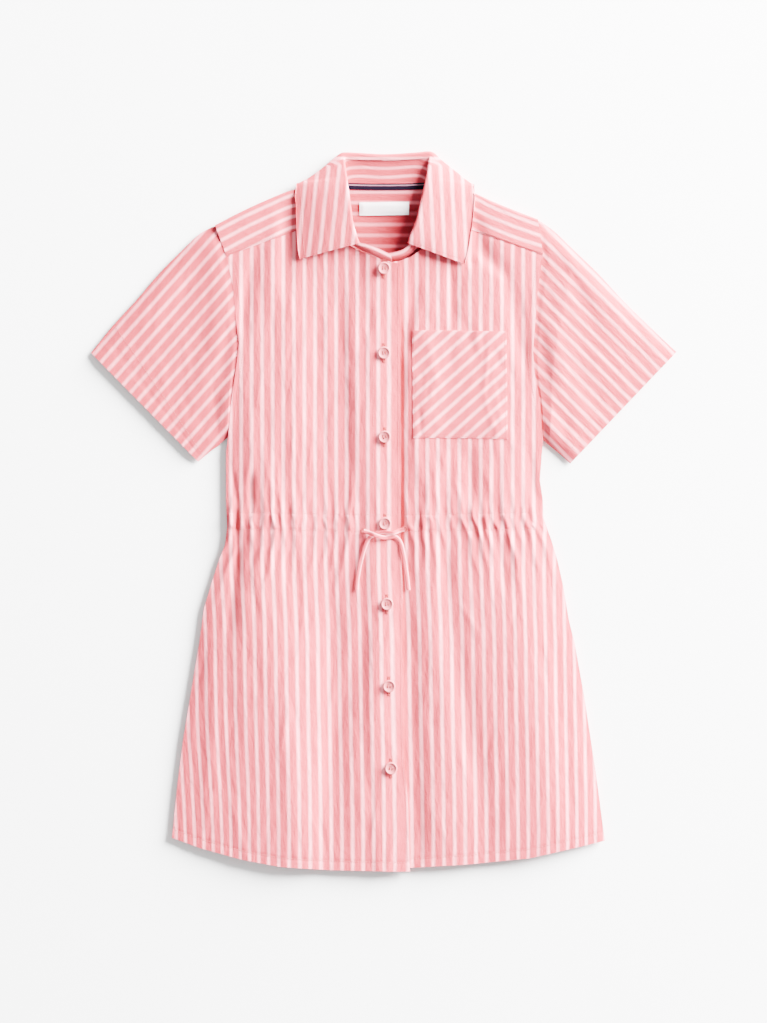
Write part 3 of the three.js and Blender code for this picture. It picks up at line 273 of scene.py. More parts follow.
def shell(name, outer, cloth, material, wall=CLOTH, closed=False, depth=None):
    """A closed thin wall below a grid of points, with the cloth map that goes with the grid. The
    grid's columns run so that its rows, going on, turn to the left of them seen from outside."""
    rows, cols = outer.shape[:2]
    walls = np.broadcast_to(wall, (rows, cols))[..., None]
    inner = outer - surface_normals(outer, closed) * walls
    points = (np.concatenate([outer.reshape(-1, 3), inner.reshape(-1, 3)]) + FRAME_SHIFT) * MM
    if closed:
        cloth = np.concatenate([cloth, cloth[:, :1]], axis=1)
    quads = []
    corners = []

    def add(ring, place):
        quads.append(np.stack(ring, 1))
        corners.append(np.stack([np.stack(p, 1) for p in place], 1))

    spans = cols if closed else cols - 1
    i, j = (a.ravel() for a in np.meshgrid(np.arange(rows - 1), np.arange(spans), indexing="ij"))
    low = rows * cols
    at = lambda r, c: r * cols + c % cols
    add([at(i, j), at(i, j + 1), at(i + 1, j + 1), at(i + 1, j)],
        [(i, j), (i, j + 1), (i + 1, j + 1), (i + 1, j)])
    add([low + at(i, j), low + at(i + 1, j), low + at(i + 1, j + 1), low + at(i, j + 1)],
        [(i, j), (i + 1, j), (i + 1, j + 1), (i, j + 1)])
    c = np.arange(spans)
    first, last = c * 0, c * 0 + rows - 1
    add([at(first, c + 1), at(first, c), low + at(first, c), low + at(first, c + 1)],
        [(first, c + 1), (first, c), (first, c), (first, c + 1)])
    add([at(last, c), at(last, c + 1), low + at(last, c + 1), low + at(last, c)],
        [(last, c), (last, c + 1), (last, c + 1), (last, c)])
    if not closed:
        r = np.arange(rows - 1)
        first, last = r * 0, r * 0 + cols - 1
        add([at(r, first), at(r + 1, first), low + at(r + 1, first), low + at(r, first)],
            [(r, first), (r + 1, first), (r + 1, first), (r, first)])
        add([at(r + 1, last), at(r, last), low + at(r, last), low + at(r + 1, last)],
            [(r + 1, last), (r, last), (r, last), (r + 1, last)])
    place = np.concatenate(corners).reshape(-1, 2)
    mesh = bpy.data.meshes.new(name)
    mesh.from_pydata(points.tolist(), [], np.concatenate(quads).tolist())
    layer = mesh.uv_layers.new(name="cloth")
    layer.data.foreach_set("uv", cloth[place[:, 0], place[:, 1]].astype(np.float32).ravel())
    # depth is painted shade, stored as a point attribute that darkens the cloth's colour.
    if depth is not None:
        values = depth(points / MM) if callable(depth) else np.full(len(points), depth)
        layer = mesh.attributes.new("depth", "FLOAT", "POINT")
        layer.data.foreach_set("value", values.astype(np.float32))
    return add_piece(name, mesh, material)


def creases(rows, x, y):
    """Soft ridges and troughs. Each runs from its first point to its second, rises by so much and
    reaches so far on its -X and +X sides."""
    total = np.zeros(np.broadcast(x, y).shape)
    for x0, y0, x1, y1, rise, wide_right, wide_left in rows:
        length = math.hypot(x1 - x0, y1 - y0)
        ux, uy = (x1 - x0) / length, (y1 - y0) / length
        along = ((x - x0) * ux + (y - y0) * uy) / length
        aside = ((x - x0) * uy - (y - y0) * ux) * (1 if uy > 0 else -1)
        fade = ease(-0.12, 0.3, along) * ease(1.12, 0.7, along)
        total += rise * fade * np.exp(-((aside / np.where(aside < 0, wide_right, wide_left)) ** 2))
    return total


def small_creases(random, count, low, high, rise):
    """Short shallow creases over a region, most of them along the stripes."""
    rows = []
    for _ in range(count):
        x, y = random.uniform(low[0], high[0]), random.uniform(low[1], high[1])
        length, lean = random.uniform(16, 60), random.normal(0, 0.22)
        width = random.uniform(2.2, 5.5)
        depth = random.uniform(0.4, 1.0) * rise * random.choice((-1, 1))
        rows.append((x, y, x + lean * length, y - length, depth, width, width))
    return rows


# Puckers of the waist, about one for each stripe, uneven in place, height, reach and lean.
waist_random = np.random.default_rng(12)
PUCKERS = [
    (-153 + 10.55 * k + waist_random.normal(0, 1.2), waist_random.uniform(0.45, 1.25),
     waist_random.uniform(14, 46), waist_random.uniform(20, 66), waist_random.normal(0, 0.06))
    for k in range(30)
]


# Small tucks that the two rows of casing stitches pull the cloth into.
TUCKS = [
    (-156 + 2.3 * k + waist_random.normal(0, 1.0),
     waist_random.choice((-8.5, 8.5)) + waist_random.normal(0, 2),
     waist_random.uniform(0.14, 0.42) * waist_random.choice((-1, 1)), waist_random.uniform(1.2, 2.0),
     waist_random.uniform(2.6, 6.0), waist_random.normal(0, 0.16))
    for k in range(137)
]


def gathers(x, y):
    share = (x - right_edge(y)) / (left_edge(y) - right_edge(y))
    place = mix(right_edge(-10), left_edge(-10), share)
    middle = -9.5 - 3 * np.clip(1 - np.abs(x) / 160, 0, 1)
    above, below = np.maximum(y - middle, 0), np.maximum(middle - y, 0)
    total = np.zeros(np.broadcast(x, y).shape)
    for at, rise, up, down, lean in PUCKERS:
        reach = np.exp(-((above / up) ** 2) - (below / down) ** 2)
        bend = lean * (y - middle) + 0.9 * np.sin((y - middle) / 6 + at)
        total += rise * (0.8 + 0.4 * abs(at) / 157) * reach * np.exp(-(((place - at - bend) / 3.0) ** 2))
    near = np.abs(y - middle) < 24
    for at, up, rise, wide, tall, lean in TUCKS:
        aside = (place - at - lean * (y - middle)) / wide
        total += np.where(near, rise * np.exp(-(aside ** 2) - ((y - middle - up) / tall) ** 2), 0)
    stitched = np.exp(-(((np.abs(y - middle) - 8.5) / 2) ** 2)) * (0.6 + 0.4 * np.sin(place / 3.1))
    flat_band = 1 - 0.85 * ease(-34, -26, x) * ease(24, 16, x)
    return (total * (1 - 0.3 * stitched) - 0.13 * stitched) * flat_band


def back_lift(x, y):
    """How far the neck is raised by the turned-down collar that it lies on."""
    return 1.65 * ease(116, 92, np.abs(x)) * ease(294, 307, y)


back_random = np.random.default_rng(3)
back_creases = small_creases(back_random, 50, (-190, -340), (190, 225), 0.25)
shares = np.linspace(0, 1, 120)[None, :]
y = np.concatenate([
    np.linspace(YOKE_SEAM_Y + 3, 30, 60), np.linspace(28, -60, 40), np.linspace(-64, -318, 50),
])[:, None] + 0 * shares
hem_x = mix(-212, 221, shares)
hem_y = 1.2 + np.where(hem_x < 12, look_up(RIGHT_HEM, hem_x), look_up(LEFT_HEM, hem_x))
y = np.concatenate([y, mix(-318, hem_y, np.linspace(0.15, 1, 7)[:, None])])
x = mix(right_edge(y), left_edge(y), shares)
lift = np.maximum(creases(back_creases, x, y) + 0.4 * gathers(x, y), 0)
lift = lift * ease(240, 225, y) * ease(0, 0.03, np.minimum(shares, 1 - shares))
from_edge = np.minimum(x - right_edge(y), left_edge(y) - x)
lift = lift + 1.5 * ease(9, 0, from_edge) * ease(80, 55, y) + 0.7 * ease(7, 0, y - y[-1:])
back_points = np.stack([x, y, REST + CLOTH + lift], 2)
back = shell("back_cloth", back_points[:, ::-1], np.stack([x, y], 2)[:, ::-1], cotton)
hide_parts("back")

# The two fronts, each one piece from the yoke seam to the hem, with its button band folded double
# along the opening. The wearer's right front laps over the left one. They lie on the back with
# the soft folds of a pressed and smoothed dress, and are gathered a little at the waist.
DRAPE_AT = (255, 141, 61, 10, -33, -88, -128, -168, -208, -258, -308, -350)
# The large soft folds: lines down the fronts from the wearer's right to the left, with how round the
# cloth comes up or down to each from the last one (1 is straight), its places and its heights.
DRAPE = [
    (1.0, (-134, -130, -134, -132, -131, -142, -143, -141, -139, -138, -136, -134),
     (5.2, 6.2, 6.6, 6.0, 7.4, 8.8, 9.6, 10.0, 9.9, 9.8, 9.2, 7.4)),
    (1.6, (-110, -97, -97, -108, -115, -117, -113, -108, -103, -95, -89, -88),
     (5.3, 7.0, 7.2, 6.6, 8.4, 10.2, 11.4, 12.0, 12.0, 12.0, 11.2, 9.0)),
    (1.8, (-72, -62, -63, -58, -56, -55, -55, -52, -55, -55, -58, -58),
     (4.9, 5.2, 5.2, 5.0, 5.6, 6.2, 6.6, 6.8, 6.8, 6.8, 6.4, 5.6)),
    (1.5, (-34, -30, -26, -22, -16, -12, -9, -7, -14, -22, -23, -22),
     (5.1, 6.9, 6.6, 6.2, 7.0, 8.0, 8.6, 8.8, 8.8, 8.6, 8.2, 7.0)),
    (1.5, (12, 16, 16, 16, 17, 17.5, 18, 18.4, 18.8, 19.6, 22, 24),
     (5.0, 4.5, 4.5, 4.7, 5.0, 5.2, 5.6, 5.6, 5.6, 5.6, 5.4, 5.0)),
    (1.5, (26, 40, 44, 46, 48, 50, 51, 58, 60, 62, 64, 66),
     (5.1, 5.8, 6.2, 6.0, 7.6, 8.6, 9.0, 9.2, 9.4, 9.4, 9.0, 7.6)),
    (1.5, (50, 66, 62, 60, 60, 62, 66, 74, 82, 93, 98, 102),
     (5.0, 5.5, 5.2, 5.3, 6.6, 7.4, 7.6, 7.6, 7.6, 7.4, 7.2, 6.2)),
    (1.3, (112, 114, 112, 112, 116, 124, 132, 140, 146, 156, 160, 162),
     (5.5, 6.8, 6.8, 6.2, 8.0, 9.4, 10.0, 10.2, 10.2, 10.0, 9.2, 7.8)),
]
LAST_BEND = 1.6
DRAPE_ROUND = 3.5
SIDE_TOP = REST + 2 * CLOTH + 0.2
LAP = 1.5
SIDE_AT = (290, 130, 92, 62, 40, -358)
SIDE_HEIGHTS = (4.4, 5.6, 4.8, 3.6, 3.4, 3.4)
FOLDS = [
    # from the shoulders and armholes down the chest
    (-97, 306, -101, 212, -1.8, 6, 9), (-108, 300, -112, 205, 1.2, 9, 12),
    (-130, 262, -146, 165, -2.0, 6, 8), (-150, 160, -154, 60, -1.0, 5, 8),
    (-96, 240, -88, 60, 0.9, 12, 14), (-45, 235, -36, 10, -1.4, 12, 6),
    (-30, 230, -22, 20, 1.0, 8, 8), (31, 236, 21, 151, -1.6, 5, 8),
    (67, 246, 69, 182, -1.7, 4, 6), (86, 300, 104, 246, -1.8, 6, 9),
    (84, 271, 127, 230, -2.0, 5, 9), (84, 265, 90, 243, -1.4, 4, 5),
    (124, 238, 143, 131, -2.0, 7, 10), (84, 62, 88, 5, -1.6, 5, 7),
    (146, 66, 151, 8, -1.2, 6, 5), (52, 60, 50, 4, 1.1, 9, 9),
    # at the waist, on and below the casing
    (-146.4, 12, -147, -66, -2.6, 2.2, 3), (-133.4, 40, -133.2, -8, -2.4, 2.2, 3.2),
    (-96, -22, -99, -82, -1.3, 4, 6), (-122, -22, -126, -74, 1.2, 6, 5),
    (61, -22, 64, -90, -1.2, 5, 5), (116, -22, 122, -84, -1.5, 5, 6),
    (-148, -44, -156, -130, -1.8, 4, 7), (-152, 40, -147, 4, -1.4, 2.4, 3),
    # down the skirt
    (28, -100, 34, -350, -1.2, 7, 9), (-50, -70, -46, -340, -1.2, 12, 12),
    (-168, -120, -176, -330, 0.9, 8, 8), (-96, -120, -92, -340, 0.9, 12, 10),
    (-6, -80, -56, -250, -1.0, 9, 12), (60, -60, 104, -320, -1.1, 12, 12),
    (170, -110, 188, -320, -0.8, 8, 8),
]
front_random = np.random.default_rng(7)
FOLDS += small_creases(front_random, 110, (-150, 20), (150, 235), 0.55)
FOLDS += small_creases(front_random, 110, (-205, -330), (212, -25), 0.55)


def at_height(values, stations, y):
    return np.interp(y, stations[::-1], values[::-1])


def drape(x, y):
    side = at_height(SIDE_HEIGHTS, SIDE_AT, y)
    places = [right_edge(y), *(at_height(row[1], DRAPE_AT, y) for row in DRAPE), left_edge(y)]
    heights = [side, *(at_height(row[2], DRAPE_AT, y) for row in DRAPE), side]
    bends = [row[0] for row in DRAPE] + [LAST_BEND]
    total = side
    for k, bend in enumerate(bends):
        t = np.clip((x - places[k]) / (places[k + 1] - places[k]), 0, 1)
        rise = heights[k + 1] - heights[k]
        total = total + rise * np.where(rise > 0, 1 - (1 - t) ** bend, t ** bend)
    return total


NECKLINE = [(-58, 291), (-49.5, 276), (-36, 266.5), (-26, 261), (-14, 255.5), (-4, 251.5), (8, 248.5),
            (16, 247.5), (27, 254), (38, 262), (50, 273), (60, 291)]


def neck_rise(x, y):
    below = np.maximum(look_up(NECKLINE, x) - y, 0)
    return 2.1 * np.exp(-below / 12) * ease(60, 46, np.abs(x)) * ease(190, 220, y)


def front_top(x, y):
    nearest = np.minimum(x - right_edge(y), left_edge(y) - x)
    reach = DRAPE_ROUND * ease(0, 2 * DRAPE_ROUND, nearest)
    total = (drape(x - reach, y) + drape(x, y) + drape(x + reach, y)) / 3
    total = total + creases(FOLDS, x, y) * ease(0, 8, nearest) + neck_rise(x, y)
    return np.maximum(total, SIDE_TOP + 0.6 * ease(0, 6, nearest))


def lap_rise(x, y):
    inner = placket_edge(y) - 29.5
    return LAP * ease(inner - 11, inner, x)


def gathered_top(x, y):
    return front_top(x, y) + 1.6 * gathers(x, y)


def upper_top(x, y):
    """Height of whichever front is uppermost."""
    return gathered_top(x, y) + np.where(x < placket_edge(y), lap_rise(x, y), 0)


RIGHT_FRONT_TOP = [(-157.5, 255), (-58, 291), (-49.5, 276), (-36, 266.5), (-26, 261), (-14, 255.5),
                   (-4, 251.5), (8, 248.5), (16, 247.5)]
LEFT_FRONT_TOP = [(-13, 251), (6, 248.5), (16, 250), (27, 254), (38, 262), (50, 273), (60, 291),
                  (159, 256)]
YOKE_TUCK = 4
HEM_DEPTH = 9
COLUMNS = 150


def front_grid(side_x, inner_x, side_top, hem_side, top_edge, hem):
    shares = np.linspace(0, 1, COLUMNS)[None, :]
    top_x = mix(side_x(side_top), inner_x(side_top), shares)
    top_y = look_up(top_edge, top_x) + YOKE_TUCK * ease(56, 60, np.abs(top_x))
    casing_top, casing_bottom = mix(*CASING_TOP, shares), mix(*CASING_BOTTOM, shares)
    hem_y = look_up(hem, mix(hem_side, inner_x(-357), shares))
    y = np.concatenate([
        mix(top_y, casing_top, np.linspace(0, 1, 92)[:-1, None]),
        mix(casing_top, casing_bottom, np.linspace(0, 1, 24)[:-1, None]),
        mix(casing_bottom, hem_y, np.linspace(0, 0.93, 102)[:-1, None]),
        mix(casing_bottom, hem_y, np.linspace(0.93, 1, 20)[:, None]),
    ])
    x = mix(side_x(np.minimum(y, side_top)), inner_x(y), shares)
    z = gathered_top(x, y)
    z = z - 1.1 * ease(-1, 3, y - top_y + YOKE_TUCK) * ease(56, 60, np.abs(x))
    from_hem = y - hem_y
    hem_ripple = np.sin(1.7 * x + 2 * np.sin(x / 7)) * np.exp(-(((from_hem - 6) / 4) ** 2))
    z = z + 0.13 * hem_ripple - 0.3 * np.exp(-(((from_hem - HEM_DEPTH) / 1.4) ** 2))
    return shares, x, y, z


def skirt_drift(y):
    """How far the stripes lean to the left front on their way down the skirt."""
    return 3 * ease(-40, -140, y) + 3 * ease(-120, -345, y)


def gather_wobble(x, y):
    return 0.7 * np.sin(y / 5 + x / 6) * np.exp(-(((y + 11) / 14) ** 2)) * ease(22, 34, np.abs(x))


# Painted shade on the skirt's flank on the wearer's right, the side away from the lamp.
def flank_painted_shade(points):
    x, y = points[:, 0], points[:, 1]
    return 0.16 * ease(-140, -180, x) * ease(-60, -120, y)


def front_cloth(x, y, white_at, pitch):
    side = np.maximum(0, np.abs(x) - 110)
    squeeze = 0.0008 * side ** 2 * np.sign(x) * ease(-20, -120, y)
    lean = 6 * ease(-190, -345, y) * ease(-100, -190, x)
    u = (x - skirt_drift(y) - lean + squeeze - white_at + gather_wobble(x, y)) * STRIPE_PITCH / pitch
    return np.stack([u, y], 2)


shares, x, y, z = front_grid(right_edge, placket_edge, 255, -212, RIGHT_FRONT_TOP, RIGHT_HEM)
from_edge = (1 - shares) * (placket_edge(y) - right_edge(y))
right_cloth = front_cloth(x - 3.2 * ease(11, 1, from_edge), y, -121.5, 10.55)
band_stitching = np.exp(-(((from_edge - 27) / 0.7) ** 2)) + np.exp(-(((from_edge - 2) / 0.7) ** 2))
z = z + lap_rise(x, y) - 0.12 * ease(1.4, 0, from_edge) - 0.14 * band_stitching
right_points = np.stack([x, y, z], 2)
right_front = shell("front_right_cloth", right_points[:, ::-1], right_cloth[:, ::-1], cotton,
                    wall=mix(CLOTH, 2 * CLOTH, ease(30, 28, from_edge))[:, ::-1], depth=flank_painted_shade)
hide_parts("front_right")

shares, x, y, z = front_grid(left_edge, lambda y: placket_edge(y) - 28.5, 256, 221,
                             LEFT_FRONT_TOP, LEFT_HEM)
past_edge = x - placket_edge(y)
beside_lap = (1.3 * np.exp(-(((past_edge - 0.4) / 2.4) ** 2))
              + 1.1 * np.exp(-(((past_edge - 1) / 5) ** 2)))
z = z - beside_lap * ease(-50, -15, y) * ease(205, 170, y)
left_points = np.stack([x, y, z], 2)
left_front = shell("front_left_cloth", left_points, front_cloth(x, y, 22.3, 10.65), cotton)
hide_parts("front_left")

# The yoke. It lies across the back of the neck and comes over both shoulders to a seam on the
# fronts, which is turned under and topstitched. The shoulder is its soft fold.
RIGHT_SHOULDER = [(-58, 324.5, -58, 291), (-80, 322.3, -80, 283.04), (-94, 320.5, -94, 277.97),
                  (-118, 311, -114, 270.74), (-144, 299, -136, 262.78), (-169, 286, -157.5, 255)]
LEFT_SHOULDER = [(58, 324.5, 60, 291), (80, 321.5, 80, 283.93), (92, 317.5, 92, 279.69),
                 (107, 310.5, 108, 274.03), (134, 299.5, 136, 264.13), (154, 292, 159, 256)]


def spline(rows, steps):
    """Smooth curve through rows of numbers, with so many steps from each to the next."""
    rows = np.asarray(rows, float)
    ends = np.concatenate([[2 * rows[0] - rows[1]], rows, [2 * rows[-1] - rows[-2]]])
    t = (np.arange(steps) / steps).reshape((1, -1) + (1,) * (rows.ndim - 1))
    a, b, c, d = (ends[k:len(rows) - 1 + k][:, None] for k in range(4))
    curve = 0.5 * (2 * b + (c - a) * t + (2 * a - 5 * b + 4 * c - d) * t ** 2
                   + (3 * b - a - 3 * c + d) * t ** 3)
    return np.concatenate([curve.reshape((-1,) + rows.shape[1:]), rows[-1:]])


def shoulder_wrap(name, table, white_at):
    rows = spline(table, 11)
    start, end = rows[:, None, :2], rows[:, None, 2:]
    reach = np.linalg.norm(end - start, axis=2, keepdims=True)
    inward = (end - start) / reach
    flap = np.linspace(1, 0.06, 34)[None, :, None]
    out = reach * flap
    place = start + inward * out
    high = front_top(place[..., 0], place[..., 1]) + 0.55
    high = high - 0.5 * ease(1.0, 0, (1 - flap[..., 0]) * reach[..., 0])
    stitched = np.exp(-((((1 - flap[..., 0]) * reach[..., 0] - 2) / 0.7) ** 2))
    high = high - 0.14 * stitched
    low = back_lift(start[..., 0], start[..., 1] - 6) + REST + 0.15
    radius = (high[:, -1:] - low) / 2
    turn = np.linspace(0, math.pi, 16)[None, 1:]
    arc_out = radius * (1 - np.sin(turn)) * 0.98
    arc_high = low + radius * (1 + np.cos(turn))
    strip_out = np.linspace(6, 14, 4)[None, :] + 0 * reach[..., 0]
    outs = np.concatenate([out[..., 0] * np.ones_like(high), arc_out, strip_out], 1)
    heights = np.concatenate([high, arc_high, low + 0 * strip_out], 1)
    flat = start + inward * outs[..., None]
    points = np.concatenate([flat, heights[..., None]], 2)
    step = np.linalg.norm(np.diff(points, axis=1), axis=2)
    travelled = np.concatenate([0 * step[:, :1], np.cumsum(step, 1)], 1)
    along = np.linalg.norm(rows[:, :2] - rows[:1, :2], axis=1)[:, None] + 0 * travelled
    u = travelled - travelled[:, 34:35] + white_at
    if table[0][0] > 0:
        points, u, along = points[:, ::-1], u[:, ::-1], along[:, ::-1]
    return shell(name, points, np.stack([u, along], 2), cotton, depth=neck_painted_shade)


neck = [(-58, 323), (-44, 323), (-26, 322), (2, 321.5), (28, 322), (44, 323), (58, 323)]
shoulder_line = [(x, y - 2.2) for x, y, _, _ in RIGHT_SHOULDER + LEFT_SHOULDER]
yoke_top = [p for p in shoulder_line if abs(p[0]) > 58] + neck
shares = np.linspace(0, 1, 110)[None, :]
x0 = mix(-157.5, 156, shares)
y = mix(YOKE_SEAM_Y - 2, look_up(yoke_top, mix(-168, 154, shares)), np.linspace(1, 0, 44)[:, None])
x = mix(right_edge(y) + 0.5, left_edge(y) - 0.5, shares)
z = REST + 2 * CLOTH + 0.05 + back_lift(x, y)
z = z + 0.12 * np.sin(x / 9 + y / 17) * ease(321, 300, y)
inside_cloth = np.stack([(319 - y) * STRIPE_PITCH / 10.8, x], 2)
yoke = shell("yoke_cloth", np.stack([x, y, z], 2)[:, ::-1], inside_cloth[:, ::-1], cotton,
             depth=neck_painted_shade)
wraps = [shoulder_wrap("yoke_right_shoulder", RIGHT_SHOULDER, 4.0),
         shoulder_wrap("yoke_left_shoulder", LEFT_SHOULDER, 4.0)]
with bpy.context.temp_override(active_object=yoke, selected_editable_objects=[yoke, *wraps]):
    bpy.ops.object.join()
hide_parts("yoke")

# The short sleeves. Each is a tube pressed flat, set into the armhole, with a deep turned hem. Its
# stripes run along its folded upper edge.
RIGHT_SLEEVE = [(0, -169, 286, -156, 74), (0.1, -185, 277, -158.5, 72), (0.22, -200, 263, -162, 69),
                (0.4, -224, 239, -167, 64.5), (0.6, -248, 211, -174, 59.5),
                (0.8, -271, 186, -180, 54.3), (1, -293.3, 158.3, -186, 49.4)]
LEFT_SLEEVE = [(0, 154, 292, 159, 71), (0.1, 171, 279.5, 161.5, 69), (0.22, 187, 264, 165, 66),
               (0.4, 213, 239, 170, 62), (0.6, 240, 210, 176, 57), (0.8, 266, 184.5, 181.5, 52),
               (1, 292.8, 159.2, 186.5, 47.6)]
SLEEVE_CREASES = {
    -1: [(-176, 262, -214, 190, -1.0, 7, 9), (-158, 215, -186, 120, 0.9, 12, 12),
         (-152, 190, -168, 120, -1.1, 6, 8), (-160, 120, -186, 80, -0.8, 7, 7),
         (-205, 235, -246, 170, 0.7, 14, 16), (-176, 170, -222, 96, -0.6, 12, 10)],
    1: [(172, 262, 214, 184, -0.9, 8, 8), (160, 205, 184, 120, 0.8, 12, 12),
        (156, 180, 168, 110, -1.0, 7, 6), (164, 112, 188, 76, -0.8, 7, 7),
        (200, 232, 244, 166, 0.8, 14, 14), (180, 160, 226, 92, -0.7, 10, 12)],
}
# Height of the sleeve's top from the armhole to the hem, each side as it fell.
SLEEVE_FALL = {-1: ((0, 0.1, 0.28, 0.6, 1), (5.6, 5.2, 4.0, 3.9, 3.6)),
               1: ((0, 0.06, 0.22, 0.6, 1), (4.4, 4.6, 6.4, 5.2, 3.8))}
# Painted shade over each whole sleeve, much more on the wearer's right one, which lies away from the
# lamp.
SLEEVE_PAINTED_SHADE = {-1: 0.3, 1: 0.06}
SLEEVE_EDGE = 2.6
SLEEVE_SEAM_TUCK = 3.5
SLEEVE_HEM = 21


def sleeve(name, table, armhole, white_at):
    side = int(np.sign(table[0][1]))
    rows = spline(table, 10)
    along = rows[:, :1]
    first_top, first_under = np.array(table[0][1:3]), np.array(table[0][3:])
    spans, bows = zip(*[((first_top[1] - y) / (first_top[1] - first_under[1]), x) for y, x in armhole])
    half = np.concatenate([np.linspace(0, 0.04, 7)[:-1], np.linspace(0.04, 0.96, 62),
                           np.linspace(0.96, 1, 7)[1:]])[None, :]
    bow = np.interp(half, spans, bows) - mix(first_top[0], first_under[0], half)
    x = mix(rows[:, 1:2], rows[:, 3:4], half) + bow * (1 - along) ** 2
    y = mix(rows[:, 2:3], rows[:, 4:5], half)
    random = np.random.default_rng(31 + side)
    box_low, box_high = (min(side * 165, side * 270), 70), (max(side * 165, side * 270), 250)
    folds = SLEEVE_CREASES[side] + small_creases(random, 40, box_low, box_high, 0.22)
    length = np.linalg.norm(rows[-1, 1:3] - rows[0, 1:3]) * (1 - along)
    rounded = np.sqrt(ease(0, 0.1, np.minimum(half, 1 - half)))
    crown = np.interp(along, *SLEEVE_FALL[side]) + creases(folds, x, y) * ease(0, 25, length)
    crown = crown - 0.28 * np.exp(-(((length - SLEEVE_HEM) / 1.4) ** 2))
    crown = crown + 0.1 * np.sin(half * 95 + 3 * np.sin(half * 17)) * np.exp(-(((length - 17) / 5) ** 2))
    high = mix(SLEEVE_EDGE / 2 + REST, crown, rounded)
    low = mix(SLEEVE_EDGE / 2 + REST, REST, rounded) + 0 * high
    inset = SLEEVE_SEAM_TUCK * (1 - ease(0, 0.02, along))
    x = x - side * inset
    high = high - 1.0 * (1 - ease(0, 0.05, along)) * rounded
    ring = lambda top, under: np.concatenate([top, under[:, -2:0:-1]], 1)
    points = np.stack([ring(x, x), ring(y, y), ring(high, low)], 2)
    p0, p1 = np.array(table[2][1:3]), np.array(table[-1][1:3])
    direction = (p1 - p0) / np.linalg.norm(p1 - p0)
    u = side * ((x - p0[0]) * direction[1] - (y - p0[1]) * direction[0]) * -1 + white_at
    v = (x - p0[0]) * direction[0] + (y - p0[1]) * direction[1]
    cloth = np.stack([ring(u, u), ring(v, v)], 2)
    if side < 0:
        points, cloth = points[:, ::-1], cloth[:, ::-1]
    piece = shell(name, points, cloth, cotton, closed=True, depth=SLEEVE_PAINTED_SHADE[side])
    return piece, (x, y, high)


right_sleeve, right_sleeve_top = sleeve("sleeve_right_cloth", RIGHT_SLEEVE, RIGHT_ARMHOLE, 3.0)
left_sleeve, left_sleeve_top = sleeve("sleeve_left_cloth", LEFT_SLEEVE, LEFT_ARMHOLE, 3.0)
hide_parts("sleeve_right")
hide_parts("sleeve_left")

# The collar stand, a band sewn round the neck. At the back it lies open and shows its inside, and
# its ends lap and button at the front.
STAND = [
    (8, 249, 8.3, 7, 256, 9.8), (-4.5, 252.5, 8.3, -5, 262, 10.6), (-14, 256.5, 8.1, -17, 266.5, 11.0),
    (-25, 262, 7.6, -27.5, 269.5, 10.7), (-35, 268, 6.8, -31, 276, 11.8),
    (-47, 278, 6.6, -34.5, 287, 12.1), (-54.5, 292, 6.4, -36.6, 301.5, 12.1),
    (-56.5, 308, 6.2, -38.8, 317.3, 11.7), (-56, 319, 5.8, -40.5, 328, 10.6),
    (-53, 325.5, 4.6, -42, 337, 8.9), (-44, 325.5, 3.6, -42.5, 345.5, 6.6),
    (-36, 324.5, 3.0, -39.5, 352.5, 4.0), (-26, 323.5, 2.6, -27, 355, 2.9),
    (2, 323, 2.6, 2, 354, 2.9), (28, 323.5, 2.6, 32, 355.5, 2.9), (38, 324.5, 3.0, 44.5, 353, 4.0),
    (46, 325.5, 3.6, 48, 345.5, 6.6), (55, 325.5, 4.6, 47, 337, 8.9), (56, 319, 5.8, 45, 328, 10.6),
    (57, 308, 6.2, 42.5, 317.3, 11.7), (56, 292, 6.4, 39, 301.5, 12.1),
    (47, 276, 6.6, 34.5, 287, 12.1), (36, 265.5, 6.8, 30, 276, 11.4), (28, 258.5, 6.6, 26, 268, 9.6),
    (22, 254, 6.2, 19, 261.5, 8.6), (13, 250.6, 5.9, 10, 258.6, 8.0),
    (5, 249.6, 5.8, 2, 257.6, 7.4),
]
STAND_WALL = 1.0
STAND_WHITE_FROM_FOLD = 2.2
STAND_PITCH_SEEN = 9.0

rows = spline(STAND, 6)
share = np.linspace(0, 1, 13)[None, :, None]
middle = mix(rows[:, None, :3], rows[:, None, 3:], share)
bulge = np.sin(math.pi * share[..., 0]) * 0.9
normal = surface_normals(middle)
middle = middle + normal * bulge[..., None]
from_fold = (1 - share[..., 0]) * np.linalg.norm(rows[:, None, 3:] - rows[:, None, :3], axis=2)
step = np.linalg.norm(np.diff(middle, axis=0), axis=2)
along = np.concatenate([0 * step[:1], np.cumsum(step, 0)])
stand_cloth = np.stack([(from_fold - STAND_WHITE_FROM_FOLD) * STRIPE_PITCH / STAND_PITCH_SEEN, along], 2)
stand = shell("collar_stand_cloth", middle + normal * STAND_WALL / 2, stand_cloth, cotton,
              wall=STAND_WALL, depth=neck_painted_shade)
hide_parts("collar_stand")

